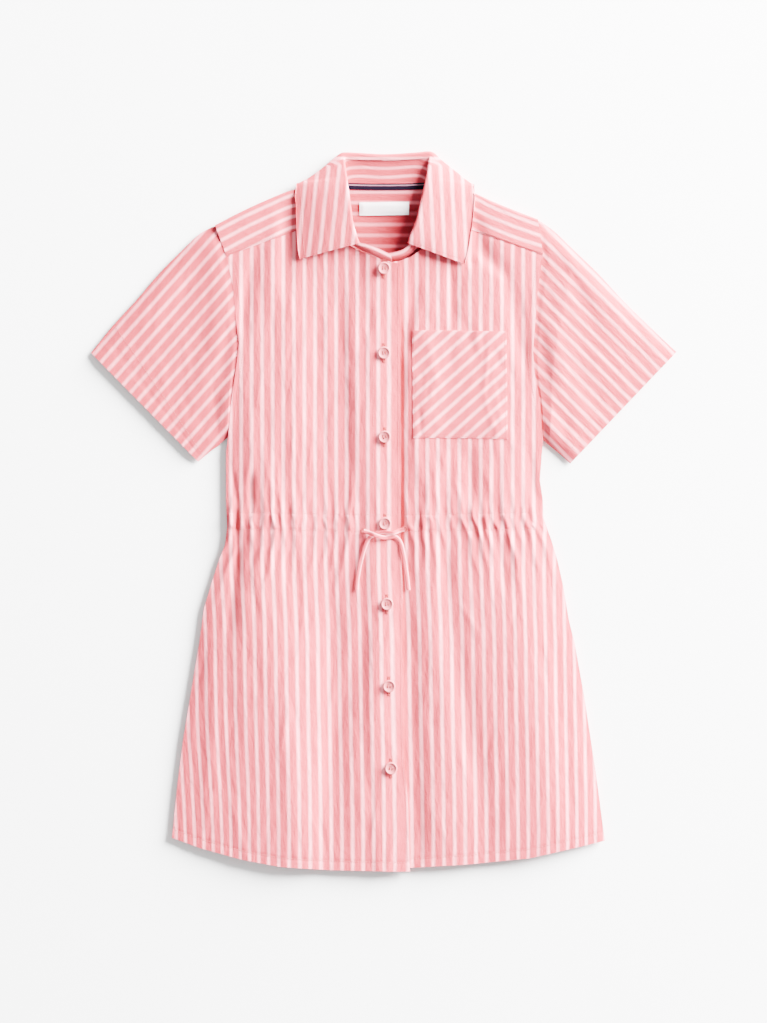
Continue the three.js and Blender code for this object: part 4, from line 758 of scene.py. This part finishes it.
# The collar leaf. It folds over from the stand and lies out on the fronts and shoulders, its two
# points to the front, and goes under the back of the neck. Its free edge is topstitched.
LEAF = [
    (-26.1, 267, 12.2, -83.6, 252, 7.2, 0, 0, 0), (-28.5, 274, 13.3, -84.8, 259, 7.2, 0, 0, 0),
    (-32, 286, 13.6, -86, 273, 7.0, 0, 0, 0), (-34.2, 301, 13.6, -86.8, 289, 6.9, 0, 0, 0),
    (-36.4, 317, 13.2, -87.3, 306, 6.8, 0, 0, 0), (-37.6, 325, 12.5, -88.2, 315, 6.7, 0, 0, 0),
    (-38.2, 330, 11.7, -87, 325.5, 5.6, 0, 0, 0), (-38.7, 334, 11.0, -83, 329, 4.8, 1, -82, 327),
    (-39.5, 339, 10.1, -77, 332, 4.8, 1, -71, 317), (-40.2, 345, 8.6, -64, 341.2, 4.7, 1, -58, 311),
    (-40.6, 350, 7.0, -52.5, 351, 4.6, 1, -47, 310), (-40, 353, 5.0, -44.5, 357.5, 4.5, 1, -38, 310),
    (-36, 353.2, 4.2, -39, 359, 4.4, 1, -32, 310), (-27, 352.9, 3.95, -27, 358.6, 4.3, 1, -23, 310),
    (2, 352.2, 3.95, 2, 357.2, 4.3, 1, 2, 310), (32, 353.6, 3.95, 32, 359, 4.3, 1, 27, 310),
    (42, 353.9, 4.2, 45, 360, 4.4, 1, 37, 310), (46, 353.5, 5.0, 51, 357.8, 4.5, 1, 44, 310),
    (46, 350, 7.0, 58, 351, 4.6, 1, 52, 310), (45.3, 345, 8.6, 69, 342, 4.7, 1, 63, 311),
    (44.5, 339, 10.1, 79.5, 333.5, 4.8, 1, 74, 317), (43.5, 334, 11.0, 86, 328.5, 4.8, 1, 85, 326.5),
    (42.7, 330, 11.7, 89.5, 324.5, 5.6, 0, 0, 0), (41.8, 325, 12.5, 90, 315, 6.7, 0, 0, 0),
    (40, 317, 13.2, 89.6, 306, 6.8, 0, 0, 0), (36.5, 301, 13.6, 88, 289, 6.9, 0, 0, 0),
    (32, 286, 13.6, 85.5, 273, 7.0, 0, 0, 0), (27.5, 274, 12.9, 83, 258, 7.2, 0, 0, 0),
    (25, 267, 11.4, 80, 247, 7.2, 0, 0, 0),
]
LEAF_WALL = 1.1
LEAF_STEPS = 6
LEAF_COLUMNS = 30
EDGE_STITCH = 5.0


def leaf_section(row):
    """Points from the stand's fold out to the free edge, and their distance along the section."""
    x, y, z, out_x, out_y, out_z, turned, under_x, under_y = row
    start, out = np.array([x, y]), np.array([out_x, out_y])
    reach = np.linalg.norm(out - start)
    u = (out - start) / reach
    low = REST + LEAF_WALL / 2
    radius = turned * (out_z - low) / 2
    flat = reach - radius - turned * LEAF_WALL / 2
    drop = 0.5 if z < 6 else 1
    lip = [(-0.6, -2.2), (-1.2, -1.6), (-1.25, -0.9), (-0.8, -0.3)]
    path = [(a, 0, z + b * drop) for a, b in lip]
    for share in np.linspace(0, 1, LEAF_COLUMNS):
        crown = math.sin(math.pi * share) * reach * 0.018
        path.append((flat * share, 0, mix(z, out_z, share) + crown))
    for angle in np.linspace(0, math.pi, 9)[1:]:
        if turned:
            path.append((flat + radius * math.sin(angle), 0, low + radius * (1 + math.cos(angle))))
        else:
            path.append((flat + 0.05 * angle, 0, out_z - 0.02 * angle))
    under = np.array([under_x, under_y]) - start
    under_out, under_aside = under @ u, under @ np.array([-u[1], u[0]])
    for share in np.linspace(0, 1, 7)[1:]:
        if turned:
            path.append((mix(flat, under_out, share), under_aside * share, low))
        else:
            path.append((flat + 0.16 + 0.02 * share, 0, out_z - 0.07))
    return [(x + u[0] * a - u[1] * b, y + u[1] * a + u[0] * b, h) for a, b, h in path]


middle = spline([leaf_section(row) for row in LEAF], LEAF_STEPS)
normal = surface_normals(middle)
if normal[10, 15, 2] < 0:
    normal = -normal
px, py = middle[..., 0], middle[..., 1]
u_right = px + 0.105 * (314 - py) + 47.3
u_left = px - 0.05 * (314 - py) - 57.9
u_back = (352.3 - py) * STRIPE_PITCH / STAND_PITCH_SEEN
step = np.linalg.norm(np.diff(middle, axis=0), axis=2)
along = np.concatenate([0 * step[:1], np.cumsum(step, 0)])
to_back = ease(344, 352, py)
u = mix(np.where(px < 0, u_right, u_left), u_back, to_back)
leaf_cloth = np.stack([u * STRIPE_PITCH / 10.8, along], 2)
leaf_top = middle + normal * LEAF_WALL / 2
order = slice(None, None, -1 if surface_normals(leaf_top)[10, 15, 2] < 0 else 1)
leaf = shell("collar_leaf_cloth", leaf_top[:, order], leaf_cloth[:, order], cotton, wall=LEAF_WALL)
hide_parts("collar")

# The chest pocket, a single patch cut on the slant so that its stripes run up towards the arm,
# turned in at its edges and stitched down at the sides and below.
POCKET = (28, 122.5, 180, 72.5)
POCKET_SLANT = math.radians(42)
POCKET_WALL = 0.6

left, right, top, bottom = POCKET
x = mix(left, right, np.linspace(0, 1, 96))[None, :] + np.linspace(0, 1.0, 96)[:, None]
y = mix(top, bottom, np.linspace(0, 1, 96))[:, None] + 0 * x + 0.6 * np.sin(x / 30)
from_side = np.minimum(x - x[:, :1], x[:, -1:] - x)
from_bottom = y - y[-1:]
edge_distance = np.minimum(from_side, from_bottom)
puff = 0.5 * ease(0, 16, edge_distance)
z = gathered_top(x, y) + 0.08 + POCKET_WALL + puff
z = z - 0.2 * ease(1.2, 0, np.minimum(edge_distance, y[:1] - y))
z = z - 0.15 * np.exp(-(((edge_distance - 2) / 0.7) ** 2))
u = (x - 75) * math.sin(POCKET_SLANT) - (y - 126) * math.cos(POCKET_SLANT)
v = (x - 75) * math.cos(POCKET_SLANT) + (y - 126) * math.sin(POCKET_SLANT)
pocket_points = np.stack([x, y, z], 2)
pocket = shell("pocket_cloth", pocket_points[:, ::-1], np.stack([u, v], 2)[:, ::-1], cotton,
               wall=POCKET_WALL)
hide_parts("pocket")

# What is sewn inside the neck: a twill tape over the seam of the stand, navy with one pale line,
# and a plain white satin label.
TAPE = (-42, 44, 328.6, 322)
LABEL = (-24.4, 25, 309, 296)

navy, tree, shader = new_material("navy twill tape", 0.9, 0.02)
vector, u, v = cloth_map(tree)
line_place = math_node(tree, "ABSOLUTE", math_node(tree, "SUBTRACT", v, 4.5))
line = math_node(tree, "LESS_THAN", line_place, 0.62)
twill = math_node(tree, "SINE", math_node(tree, "MULTIPLY", math_node(tree, "ADD", u, v), 9.0))
shade = math_node(tree, "MULTIPLY_ADD", twill, 0.25, 0.5)
dark = mix_colours(tree, shade, (0.0030, 0.0012, 0.0042, 1), (0.0070, 0.0030, 0.0090, 1))
tree.links.new(mix_colours(tree, line, dark, (0.16, 0.075, 0.10, 1)), shader.inputs["Base Color"])
add_bump(tree, shader, math_node(tree, "MULTIPLY", twill, 0.06))

satin, tree, shader = new_material("white satin label", 0.6, 0.15, (0.75, 0.68, 0.70, 1))
vector, u, v = cloth_map(tree)
float_threads = math_node(tree, "SINE", math_node(tree, "MULTIPLY", v, 14.0))
flecks = noise_node(tree, vector, 1.5, 6.0, 2)
add_bump(tree, shader, math_node(tree, "MULTIPLY_ADD", float_threads, 0.012,
                                 math_node(tree, "MULTIPLY", flecks, 0.03)))

left, right, top, bottom = TAPE
x = np.linspace(left, right, 60)[None, :]
v = np.linspace(6.5, 0, 12)[:, None]
sag = 0.9 * (1 - (x / 43) ** 2)
y = bottom + v - sag + 0 * x
z = look_up([(a, c) for a, b, c, *_ in STAND[10:17]], x) + 0.8 + 0.6 + 0 * y
z = z + 0.25 * np.sin(v / 6.5 * math.pi)
tape_points = np.stack([x + 0 * y, y, z], 2)
tape = shell("neck_tape_twill", tape_points[:, ::-1],
             np.stack([x + 0 * y, v + 0 * x], 2)[:, ::-1], navy, wall=0.6)
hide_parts("neck_tape")

left, right, top, bottom = LABEL
x = np.linspace(left, right, 50)[None, :]
y = np.linspace(top, bottom, 16)[:, None] + 0.25 * np.sin(x / 12)
x = x + 0 * y
in_from_edge = np.minimum(np.minimum(x - left, right - x), np.minimum(y - bottom, top - y))
label_puff = 0.45 * ease(0, 4, in_from_edge) * (1 + 0.4 * np.sin(x / 7))
z = REST + 2 * CLOTH + back_lift(x, y) + 0.95 + label_puff
label = shell("neck_label_satin", np.stack([x, y, z], 2)[:, ::-1], np.stack([x, y], 2)[:, ::-1],
              satin, wall=0.5)
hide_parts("neck_label")

# The seven buttons, pale coral with four holes and a rim, each sewn to the left front with two
# passes of thread and standing through an upright worked buttonhole in the right one.
BUTTON_PLACES = [(0, 242.5), (0, 158), (0.5, 74), (1, -12.5), (3, -93), (5, -175), (7, -257)]
BUTTON_PROFILE = [(0, 0), (4.9, 0), (5.9, 0.45), (6.25, 1.1), (6.1, 1.75), (5.55, 2.15), (5.0, 2.15),
                  (4.5, 1.8), (4.05, 1.5), (0, 1.35)]
HOLE_OFFSET = 1.35
HOLE_RADIUS = 0.72
BUTTONHOLE_LENGTH = 16.5

coral, tree, shader = new_material("coral button", 0.4, 0.25, (0.48, 0.09, 0.11, 1))
place = tree.nodes.new("ShaderNodeTexCoord").outputs["Object"]
clouding = noise_node(tree, place, 180, 180, 3)
tree.links.new(mix_colours(tree, clouding, (0.42, 0.075, 0.09, 1), (0.54, 0.12, 0.14, 1)),
               shader.inputs["Base Color"])
turning = noise_node(tree, place, 1200, 1200, 2)
add_bump(tree, shader, math_node(tree, "MULTIPLY", turning, 0.03))


def thread_material(name, roughness, specular, colour):
    material, tree, shader = new_material(name, roughness, specular, colour)
    place = tree.nodes.new("ShaderNodeTexCoord").outputs["Object"]
    add_bump(tree, shader, math_node(tree, "MULTIPLY", noise_node(tree, place, 2500, 2500, 2), 0.05))
    return material


pink_thread = thread_material("pink sewing thread", 0.8, 0.1, (0.45, 0.09, 0.10, 1))
coral_thread = thread_material("coral buttonhole thread", 0.7, 0.15, (0.30, 0.030, 0.034, 1))


def stitches(name, segments, radius, material):
    """One mesh of short rounded threads, each from one point to another."""
    ends = np.array(segments, float)
    start, end = ends[:, 0] + FRAME_SHIFT, ends[:, 1] + FRAME_SHIFT
    run = end - start
    run /= np.linalg.norm(run, axis=1, keepdims=True)
    side = np.cross(run, [0, 0, 1.0])
    side /= np.maximum(np.linalg.norm(side, axis=1, keepdims=True), 1e-6)
    up = np.cross(side, run)
    around = np.arange(5) * 2 * math.pi / 5
    ring = side[:, None] * np.cos(around)[None, :, None] + up[:, None] * np.sin(around)[None, :, None]
    inset = np.minimum(np.linalg.norm(end - start, axis=1, keepdims=True) * 0.3, radius * 1.5)
    first = (start + run * inset)[:, None] + ring * radius
    last = (end - run * inset)[:, None] + ring * radius
    points = np.concatenate([start[:, None], first, last, end[:, None]], 1).reshape(-1, 3) * MM
    faces = []
    for base in range(0, len(points), 12):
        for k in range(5):
            a, b = base + 1 + k, base + 1 + (k + 1) % 5
            faces += [(base, b, a), (a, b, b + 5, a + 5), (base + 11, a + 5, b + 5)]
    mesh = bpy.data.meshes.new(name)
    mesh.from_pydata(points.tolist(), [], faces)
    return add_piece(name, mesh, material)


def dashes(line, length=2.1, space=0.8):
    """Running stitches along a line of points."""
    line = np.asarray(line, float)
    travelled = np.concatenate([[0], np.cumsum(np.linalg.norm(np.diff(line, axis=0), axis=1))])
    at = lambda d: np.array([np.interp(d, travelled, line[:, k]) for k in range(3)])
    starts = np.arange(0.5, travelled[-1] - length, length + space)
    return [(at(d), at(d + length)) for d in starts]


def button_mesh():
    sides = 48
    angles = np.arange(sides) * 2 * math.pi / sides
    points = [(0, 0, BUTTON_PROFILE[0][1])]
    for r, z in BUTTON_PROFILE[1:-1]:
        points += [(r * math.cos(a), r * math.sin(a), z) for a in angles]
    points.append((0, 0, BUTTON_PROFILE[-1][1]))
    rings = len(BUTTON_PROFILE) - 2
    faces = []
    for k in range(sides):
        n = (k + 1) % sides
        faces.append((0, 1 + n, 1 + k))
        for r in range(rings - 1):
            a, b = 1 + r * sides, 1 + (r + 1) * sides
            faces.append((a + k, a + n, b + n, b + k))
        a = 1 + (rings - 1) * sides
        faces.append((a + k, a + n, len(points) - 1))
    mesh = bpy.data.meshes.new("button")
    mesh.from_pydata((np.array(points) * MM).tolist(), [], faces)
    disc = bpy.data.objects.new("button_blank", mesh)
    bpy.context.scene.collection.objects.link(disc)
    holes = []
    for sx in (-1, 1):
        for sy in (-1, 1):
            bpy.ops.mesh.primitive_cylinder_add(
                vertices=16, radius=HOLE_RADIUS * MM, depth=8 * MM,
                location=(sx * HOLE_OFFSET * MM, sy * HOLE_OFFSET * MM, 0))
            hole = bpy.context.active_object
            cut = disc.modifiers.new("hole", "BOOLEAN")
            cut.operation = "DIFFERENCE"
            cut.solver = "EXACT"
            cut.object = hole
            holes.append(hole)
    shaped = bpy.data.meshes.new_from_object(disc.evaluated_get(bpy.context.evaluated_depsgraph_get()))
    for thing in [disc, *holes]:
        bpy.data.objects.remove(thing)
    return shaped


button_shape = button_mesh()
button_seats = []
ring_x, ring_y = np.meshgrid(np.linspace(-5, 5, 7), np.linspace(-5, 5, 7))
for k, (x, y) in enumerate(BUTTON_PLACES):
    seat = upper_top(x + ring_x, y + ring_y).max() + 0.6
    button_seats.append(seat)
    mesh = button_shape.copy()
    button = bpy.data.objects.new(f"button_{k + 1}_coral", mesh)
    bpy.context.scene.collection.objects.link(button)
    button.location = (np.array([x, y, seat]) + FRAME_SHIFT) * MM
    button.rotation_euler = (0.02 * math.sin(3 * k), 0.02 * math.cos(5 * k), 0.3 * math.sin(7 * k))
    mesh.polygons.foreach_set("use_smooth", [True] * len(mesh.polygons))
    mesh.materials.clear()
    mesh.materials.append(coral)
    mesh.set_sharp_from_angle(angle=math.radians(38))
    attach(button, "root")
    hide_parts(f"button_{k + 1}")
    turn = button.rotation_euler.z
    threads = []
    for pair in (-1, 1):
        for strand in (-0.28, 0, 0.28):
            ends = []
            for end in (-1, 0, 1):
                a, b = pair * HOLE_OFFSET + strand, end * (HOLE_OFFSET + 0.1)
                ends.append(np.array([x + a * math.cos(turn) - b * math.sin(turn),
                                      y + a * math.sin(turn) + b * math.cos(turn),
                                      seat + 1.25 + 0.5 * (end == 0)]))
            threads += [(ends[0], ends[1]), (ends[1], ends[2])]
        shank = x + pair * 0.5
        threads.append((np.array([shank, y, seat - 1.4]), np.array([shank, y, seat + 1.2])))
    stitches(f"button_{k + 1}_thread", threads, 0.2, coral_thread)

# The worked buttonholes below them: a slit edged with close satin stitches and barred at its ends.
satin_stitches = []
hole_random = np.random.default_rng(5)
for x, y in BUTTON_PLACES:
    for k in np.arange(-BUTTONHOLE_LENGTH / 2, BUTTONHOLE_LENGTH / 2, 0.42):
        for side in (-1, 1):
            inner, outer = side * 0.25, side * (1.55 + hole_random.normal(0, 0.06))
            height = float(upper_top(x + side * 0.9, y + k)) + 0.14
            satin_stitches.append(((x + inner, y + k, height), (x + outer, y + k + 0.1, height - 0.05)))
    for end in (-1, 1):
        for k in np.linspace(0, 1.4, 5):
            py = y + end * (BUTTONHOLE_LENGTH / 2 + k)
            height = float(upper_top(x, py)) + 0.2
            satin_stitches.append(((x - 1.7, py, height), (x + 1.7, py, height)))
stitches("buttonholes", satin_stitches, 0.24, coral_thread)

# The waist tie. Each end comes out of a stitched eyelet at the front, goes half round the other
# and hangs down flat to a bare end. It is a narrow turned strip of the same cotton.
TIE_WIDTH = 4.0
TIE_THICKNESS = 0.9
EYELETS = [(-20.5, -20), (20, -18.4)]
TIE_FROM_RIGHT = [
    (-20.5, -20, 1.3), (-15.5, -21.5, 2.2), (-10, -23.7, 4.2), (-5, -25.6, 3.7), (0, -26.6, 2.7),
    (5, -26.2, 1.7), (10, -25.6, 1.3), (14, -27.8, 1.3), (17, -33, 1.3), (19, -41.5, 1.3),
    (21, -53, 1.3), (23, -66, 1.3), (24.5, -79, 1.3),
]
TIE_FROM_LEFT = [
    (20, -18.4, 1.5), (15, -19.8, 2.4), (10, -21.7, 4.2), (5, -21.6, 3.8), (0, -21.4, 2.7),
    (-5, -21.9, 1.7), (-10, -23.8, 1.3), (-15, -27.4, 1.3), (-18.5, -34, 1.3), (-21.5, -43.5, 1.3),
    (-24.5, -56, 1.3), (-26.5, -68, 1.3), (-27.5, -79, 1.3),
]


def tie_seat(x, y):
    dx, dy = np.meshgrid([-2.5, 0, 2.5], [-2.5, 0, 2.5])
    return upper_top(x + dx, y + dy).max()


def tie(name, node, route):
    points = [(x, y, tie_seat(x, y) + rise) for x, y, rise in route]
    points[0] = (*points[0][:2], points[1][2])
    line = spline(points, 5)
    step = np.linalg.norm(np.diff(line, axis=0), axis=1)
    travelled = np.concatenate([[0], np.cumsum(step)])
    run = np.gradient(line, axis=0)
    run /= np.linalg.norm(run, axis=1, keepdims=True)
    side = np.cross(run, [0, 0, 1.0])
    side /= np.linalg.norm(side, axis=1, keepdims=True)
    up = np.cross(side, run)
    sides = 16
    angle = (np.arange(sides) + 0.5) * 2 * math.pi / sides
    wide = np.sign(np.cos(angle)) * np.abs(np.cos(angle)) ** 0.6 * TIE_WIDTH / 2
    thick = np.sin(angle) * TIE_THICKNESS / 2
    points = line[:, None] + side[:, None] * wide[None, :, None] + up[:, None] * thick[None, :, None]
    rows, cols = points.shape[:2]
    quads = []
    corners = []
    for i in range(rows - 1):
        for j in range(cols):
            n = (j + 1) % cols
            quads.append((i * cols + j, i * cols + n, (i + 1) * cols + n, (i + 1) * cols + j))
            corners += [(i, j), (i, n), (i + 1, n), (i + 1, j)]
    quads.append(tuple(range(cols))[::-1])
    corners += [(0, j) for j in range(cols)][::-1]
    quads.append(tuple((rows - 1) * cols + j for j in range(cols)))
    corners += [(rows - 1, j) for j in range(cols)]
    mesh = bpy.data.meshes.new(name)
    mesh.from_pydata(((points.reshape(-1, 3) + FRAME_SHIFT) * MM).tolist(), [], quads)
    layer = mesh.uv_layers.new(name="cloth")
    map_u = wide[None, :] + 2.6 + 0 * travelled[:, None]
    map_v = travelled[:, None] + 0 * wide[None, :]
    place = np.array(corners)
    values = np.stack([map_u[place[:, 0], place[:, 1]], map_v[place[:, 0], place[:, 1]]], 1)
    layer.data.foreach_set("uv", values.astype(np.float32).ravel())
    piece = add_piece(name, mesh, cotton)
    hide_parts(node)


tie("tie_from_right", "drawstring_right", TIE_FROM_RIGHT)
tie("tie_from_left", "drawstring_left", TIE_FROM_LEFT)

eyelet_stitches = []
for x, y in EYELETS:
    for k in range(26):
        a = 2 * math.pi * k / 26
        inner = (x + 1.7 * math.cos(a), y + 1.7 * math.sin(a))
        outer = (x + 3.2 * math.cos(a), y + 3.2 * math.sin(a))
        eyelet_stitches.append(((*inner, float(upper_top(*inner)) + 0.1),
                                (*outer, float(upper_top(*outer)) + 0.1)))
stitches("eyelets", eyelet_stitches, 0.24, coral_thread)

# The sewing that shows: lock stitches in pink thread along the button band, hems, casing, yoke
# seams, armholes, pocket and the edge of the collar.
SEW_RADIUS = 0.19


def on_fronts(xs, ys, right):
    xs, ys = np.asarray(xs, float), np.asarray(ys, float)
    height = gathered_top(xs, ys) + (lap_rise(xs, ys) if right else 0) + 0.05
    return np.stack([xs, ys, height], 1)


sewing = []
down = np.linspace(244, -352, 420)
for inset in (2, 27):
    sewing += dashes(on_fronts(placket_edge(down) - inset, down, True))
xs = np.linspace(-209, 22, 200)
sewing += dashes(on_fronts(xs, look_up(RIGHT_HEM, xs) + HEM_DEPTH, True))
xs = np.linspace(24, 218, 200)
sewing += dashes(on_fronts(xs, look_up(LEFT_HEM, xs) + HEM_DEPTH, False))
for line in (CASING_TOP, CASING_BOTTOM):
    xs = np.linspace(-155, 14, 200)
    sewing += dashes(on_fronts(xs, mix(*line, (xs + 157) / 173), True))
    xs = np.linspace(19, 157, 200)
    sewing += dashes(on_fronts(xs, mix(*line, (159 - xs) / 171), False))
for table in (RIGHT_SHOULDER, LEFT_SHOULDER):
    rows = spline(table, 20)
    inward = rows[:, 2:] - rows[:, :2]
    inward /= np.linalg.norm(inward, axis=1, keepdims=True)
    place = rows[:, 2:] - inward * 2
    sewing += dashes(np.stack([place[:, 0], place[:, 1], front_top(*place.T) + 0.6], 1))
for table, side in ((RIGHT_ARMHOLE, 1), (LEFT_ARMHOLE, -1)):
    ys = np.linspace(250, 80, 150)
    xs = look_up(table, ys) + side * 5
    sewing += dashes(on_fronts(xs, ys, False))


def line_on_grid(grid, row_places, col_places):
    """Points of a grid of points at fractional rows and columns."""
    r, c = np.asarray(row_places, float), np.asarray(col_places, float)
    i, j = np.minimum(r.astype(int), grid.shape[0] - 2), np.minimum(c.astype(int), grid.shape[1] - 2)
    fr, fc = (r - i)[:, None], (c - j)[:, None]
    return mix(mix(grid[i, j], grid[i + 1, j], fr), mix(grid[i, j + 1], grid[i + 1, j + 1], fr), fc)


for x, y, high in (right_sleeve_top, left_sleeve_top):
    grid = np.stack([x, y, high + 0.06], 2)
    distance = np.linalg.norm(grid[-1, 40] - grid[:, 40], axis=1)
    row = np.interp(-SLEEVE_HEM, -distance, np.arange(len(distance)))
    columns = np.linspace(3, grid.shape[1] - 4, 200)
    sewing += dashes(line_on_grid(grid, 0 * columns + row, columns))
pocket_grid = pocket_points + [0, 0, 0.06]
n = 95
inset = 2.0
across, deep = inset / 94.5 * n, inset / 107.5 * n
ends = np.linspace(0, 1, 80)
sewing += dashes(line_on_grid(pocket_grid, mix(0.5, n - deep, ends), 0 * ends + across))
sewing += dashes(line_on_grid(pocket_grid, mix(0.5, n - deep, ends), 0 * ends + n - across))
sewing += dashes(line_on_grid(pocket_grid, 0 * ends + n - deep, mix(across, n - across, ends)))
leaf_grid = leaf_top + [0, 0, 0.05]
lip_points = 4
for first_row, last_row in ((2, 6 * LEAF_STEPS), (22 * LEAF_STEPS, len(LEAF[:-1]) * LEAF_STEPS - 2)):
    places = np.linspace(first_row, last_row, 120)
    column = lip_points + (LEAF_COLUMNS - 1) * (1 - EDGE_STITCH / 55)
    sewing += dashes(line_on_grid(leaf_grid, places, 0 * places + column))
for row in (2.2, len(LEAF[:-1]) * LEAF_STEPS - 2.2):
    places = np.linspace(lip_points + 1, lip_points + (LEAF_COLUMNS - 1) * (1 - EDGE_STITCH / 55), 80)
    sewing += dashes(line_on_grid(leaf_grid, 0 * places + row, places))
stitches("sewing", sewing, SEW_RADIUS, pink_thread)

# The white table under the dress, a little below it because the dress is stiff enough not to touch it
# everywhere, the lamp and the camera straight above.
FLOOR = -0.0012

floor_white, tree, shader = new_material("white table", 0.9, 0.1, (0.93, 0.93, 0.93, 1))
mesh = bpy.data.meshes.new("floor")
mesh.from_pydata([(x, y, FLOOR) for x, y in ((-6, -6), (6, -6), (6, 6), (-6, 6))], [], [(0, 1, 2, 3)])
mesh.materials.append(floor_white)
floor = bpy.data.objects.new("floor", mesh)
bpy.context.scene.collection.objects.link(floor)

from mathutils import Vector


def lamp(name, place, size, watts, colour=(1, 1, 1)):
    light = bpy.data.lights.new(name, "AREA")
    light.shape = "DISK"
    light.size = size
    light.energy = watts
    light.color = colour
    thing = bpy.data.objects.new(name, light)
    thing.location = place
    thing.rotation_euler = (-Vector(place)).to_track_quat("-Z", "Y").to_euler()
    bpy.context.scene.collection.objects.link(thing)


KEY_PLACE = (4.25, 2.76, 0.85)
KEY_SIZE = 4.6
KEY_WATTS = 14800
lamp("key", KEY_PLACE, KEY_SIZE, KEY_WATTS)

world = bpy.data.worlds.new("room")
world.use_nodes = True
world.node_tree.nodes["Background"].inputs["Color"].default_value = (1, 1, 1, 1)
world.node_tree.nodes["Background"].inputs["Strength"].default_value = 1.1
bpy.context.scene.world = world

camera_data = bpy.data.cameras.new("camera")
camera_data.sensor_fit = "VERTICAL"
camera_data.sensor_height = 36
camera_data.lens = 105.4
camera = bpy.data.objects.new("camera", camera_data)
camera.location = (-0.00025, -0.0003, 3.0)
bpy.context.scene.collection.objects.link(camera)
bpy.context.scene.camera = camera
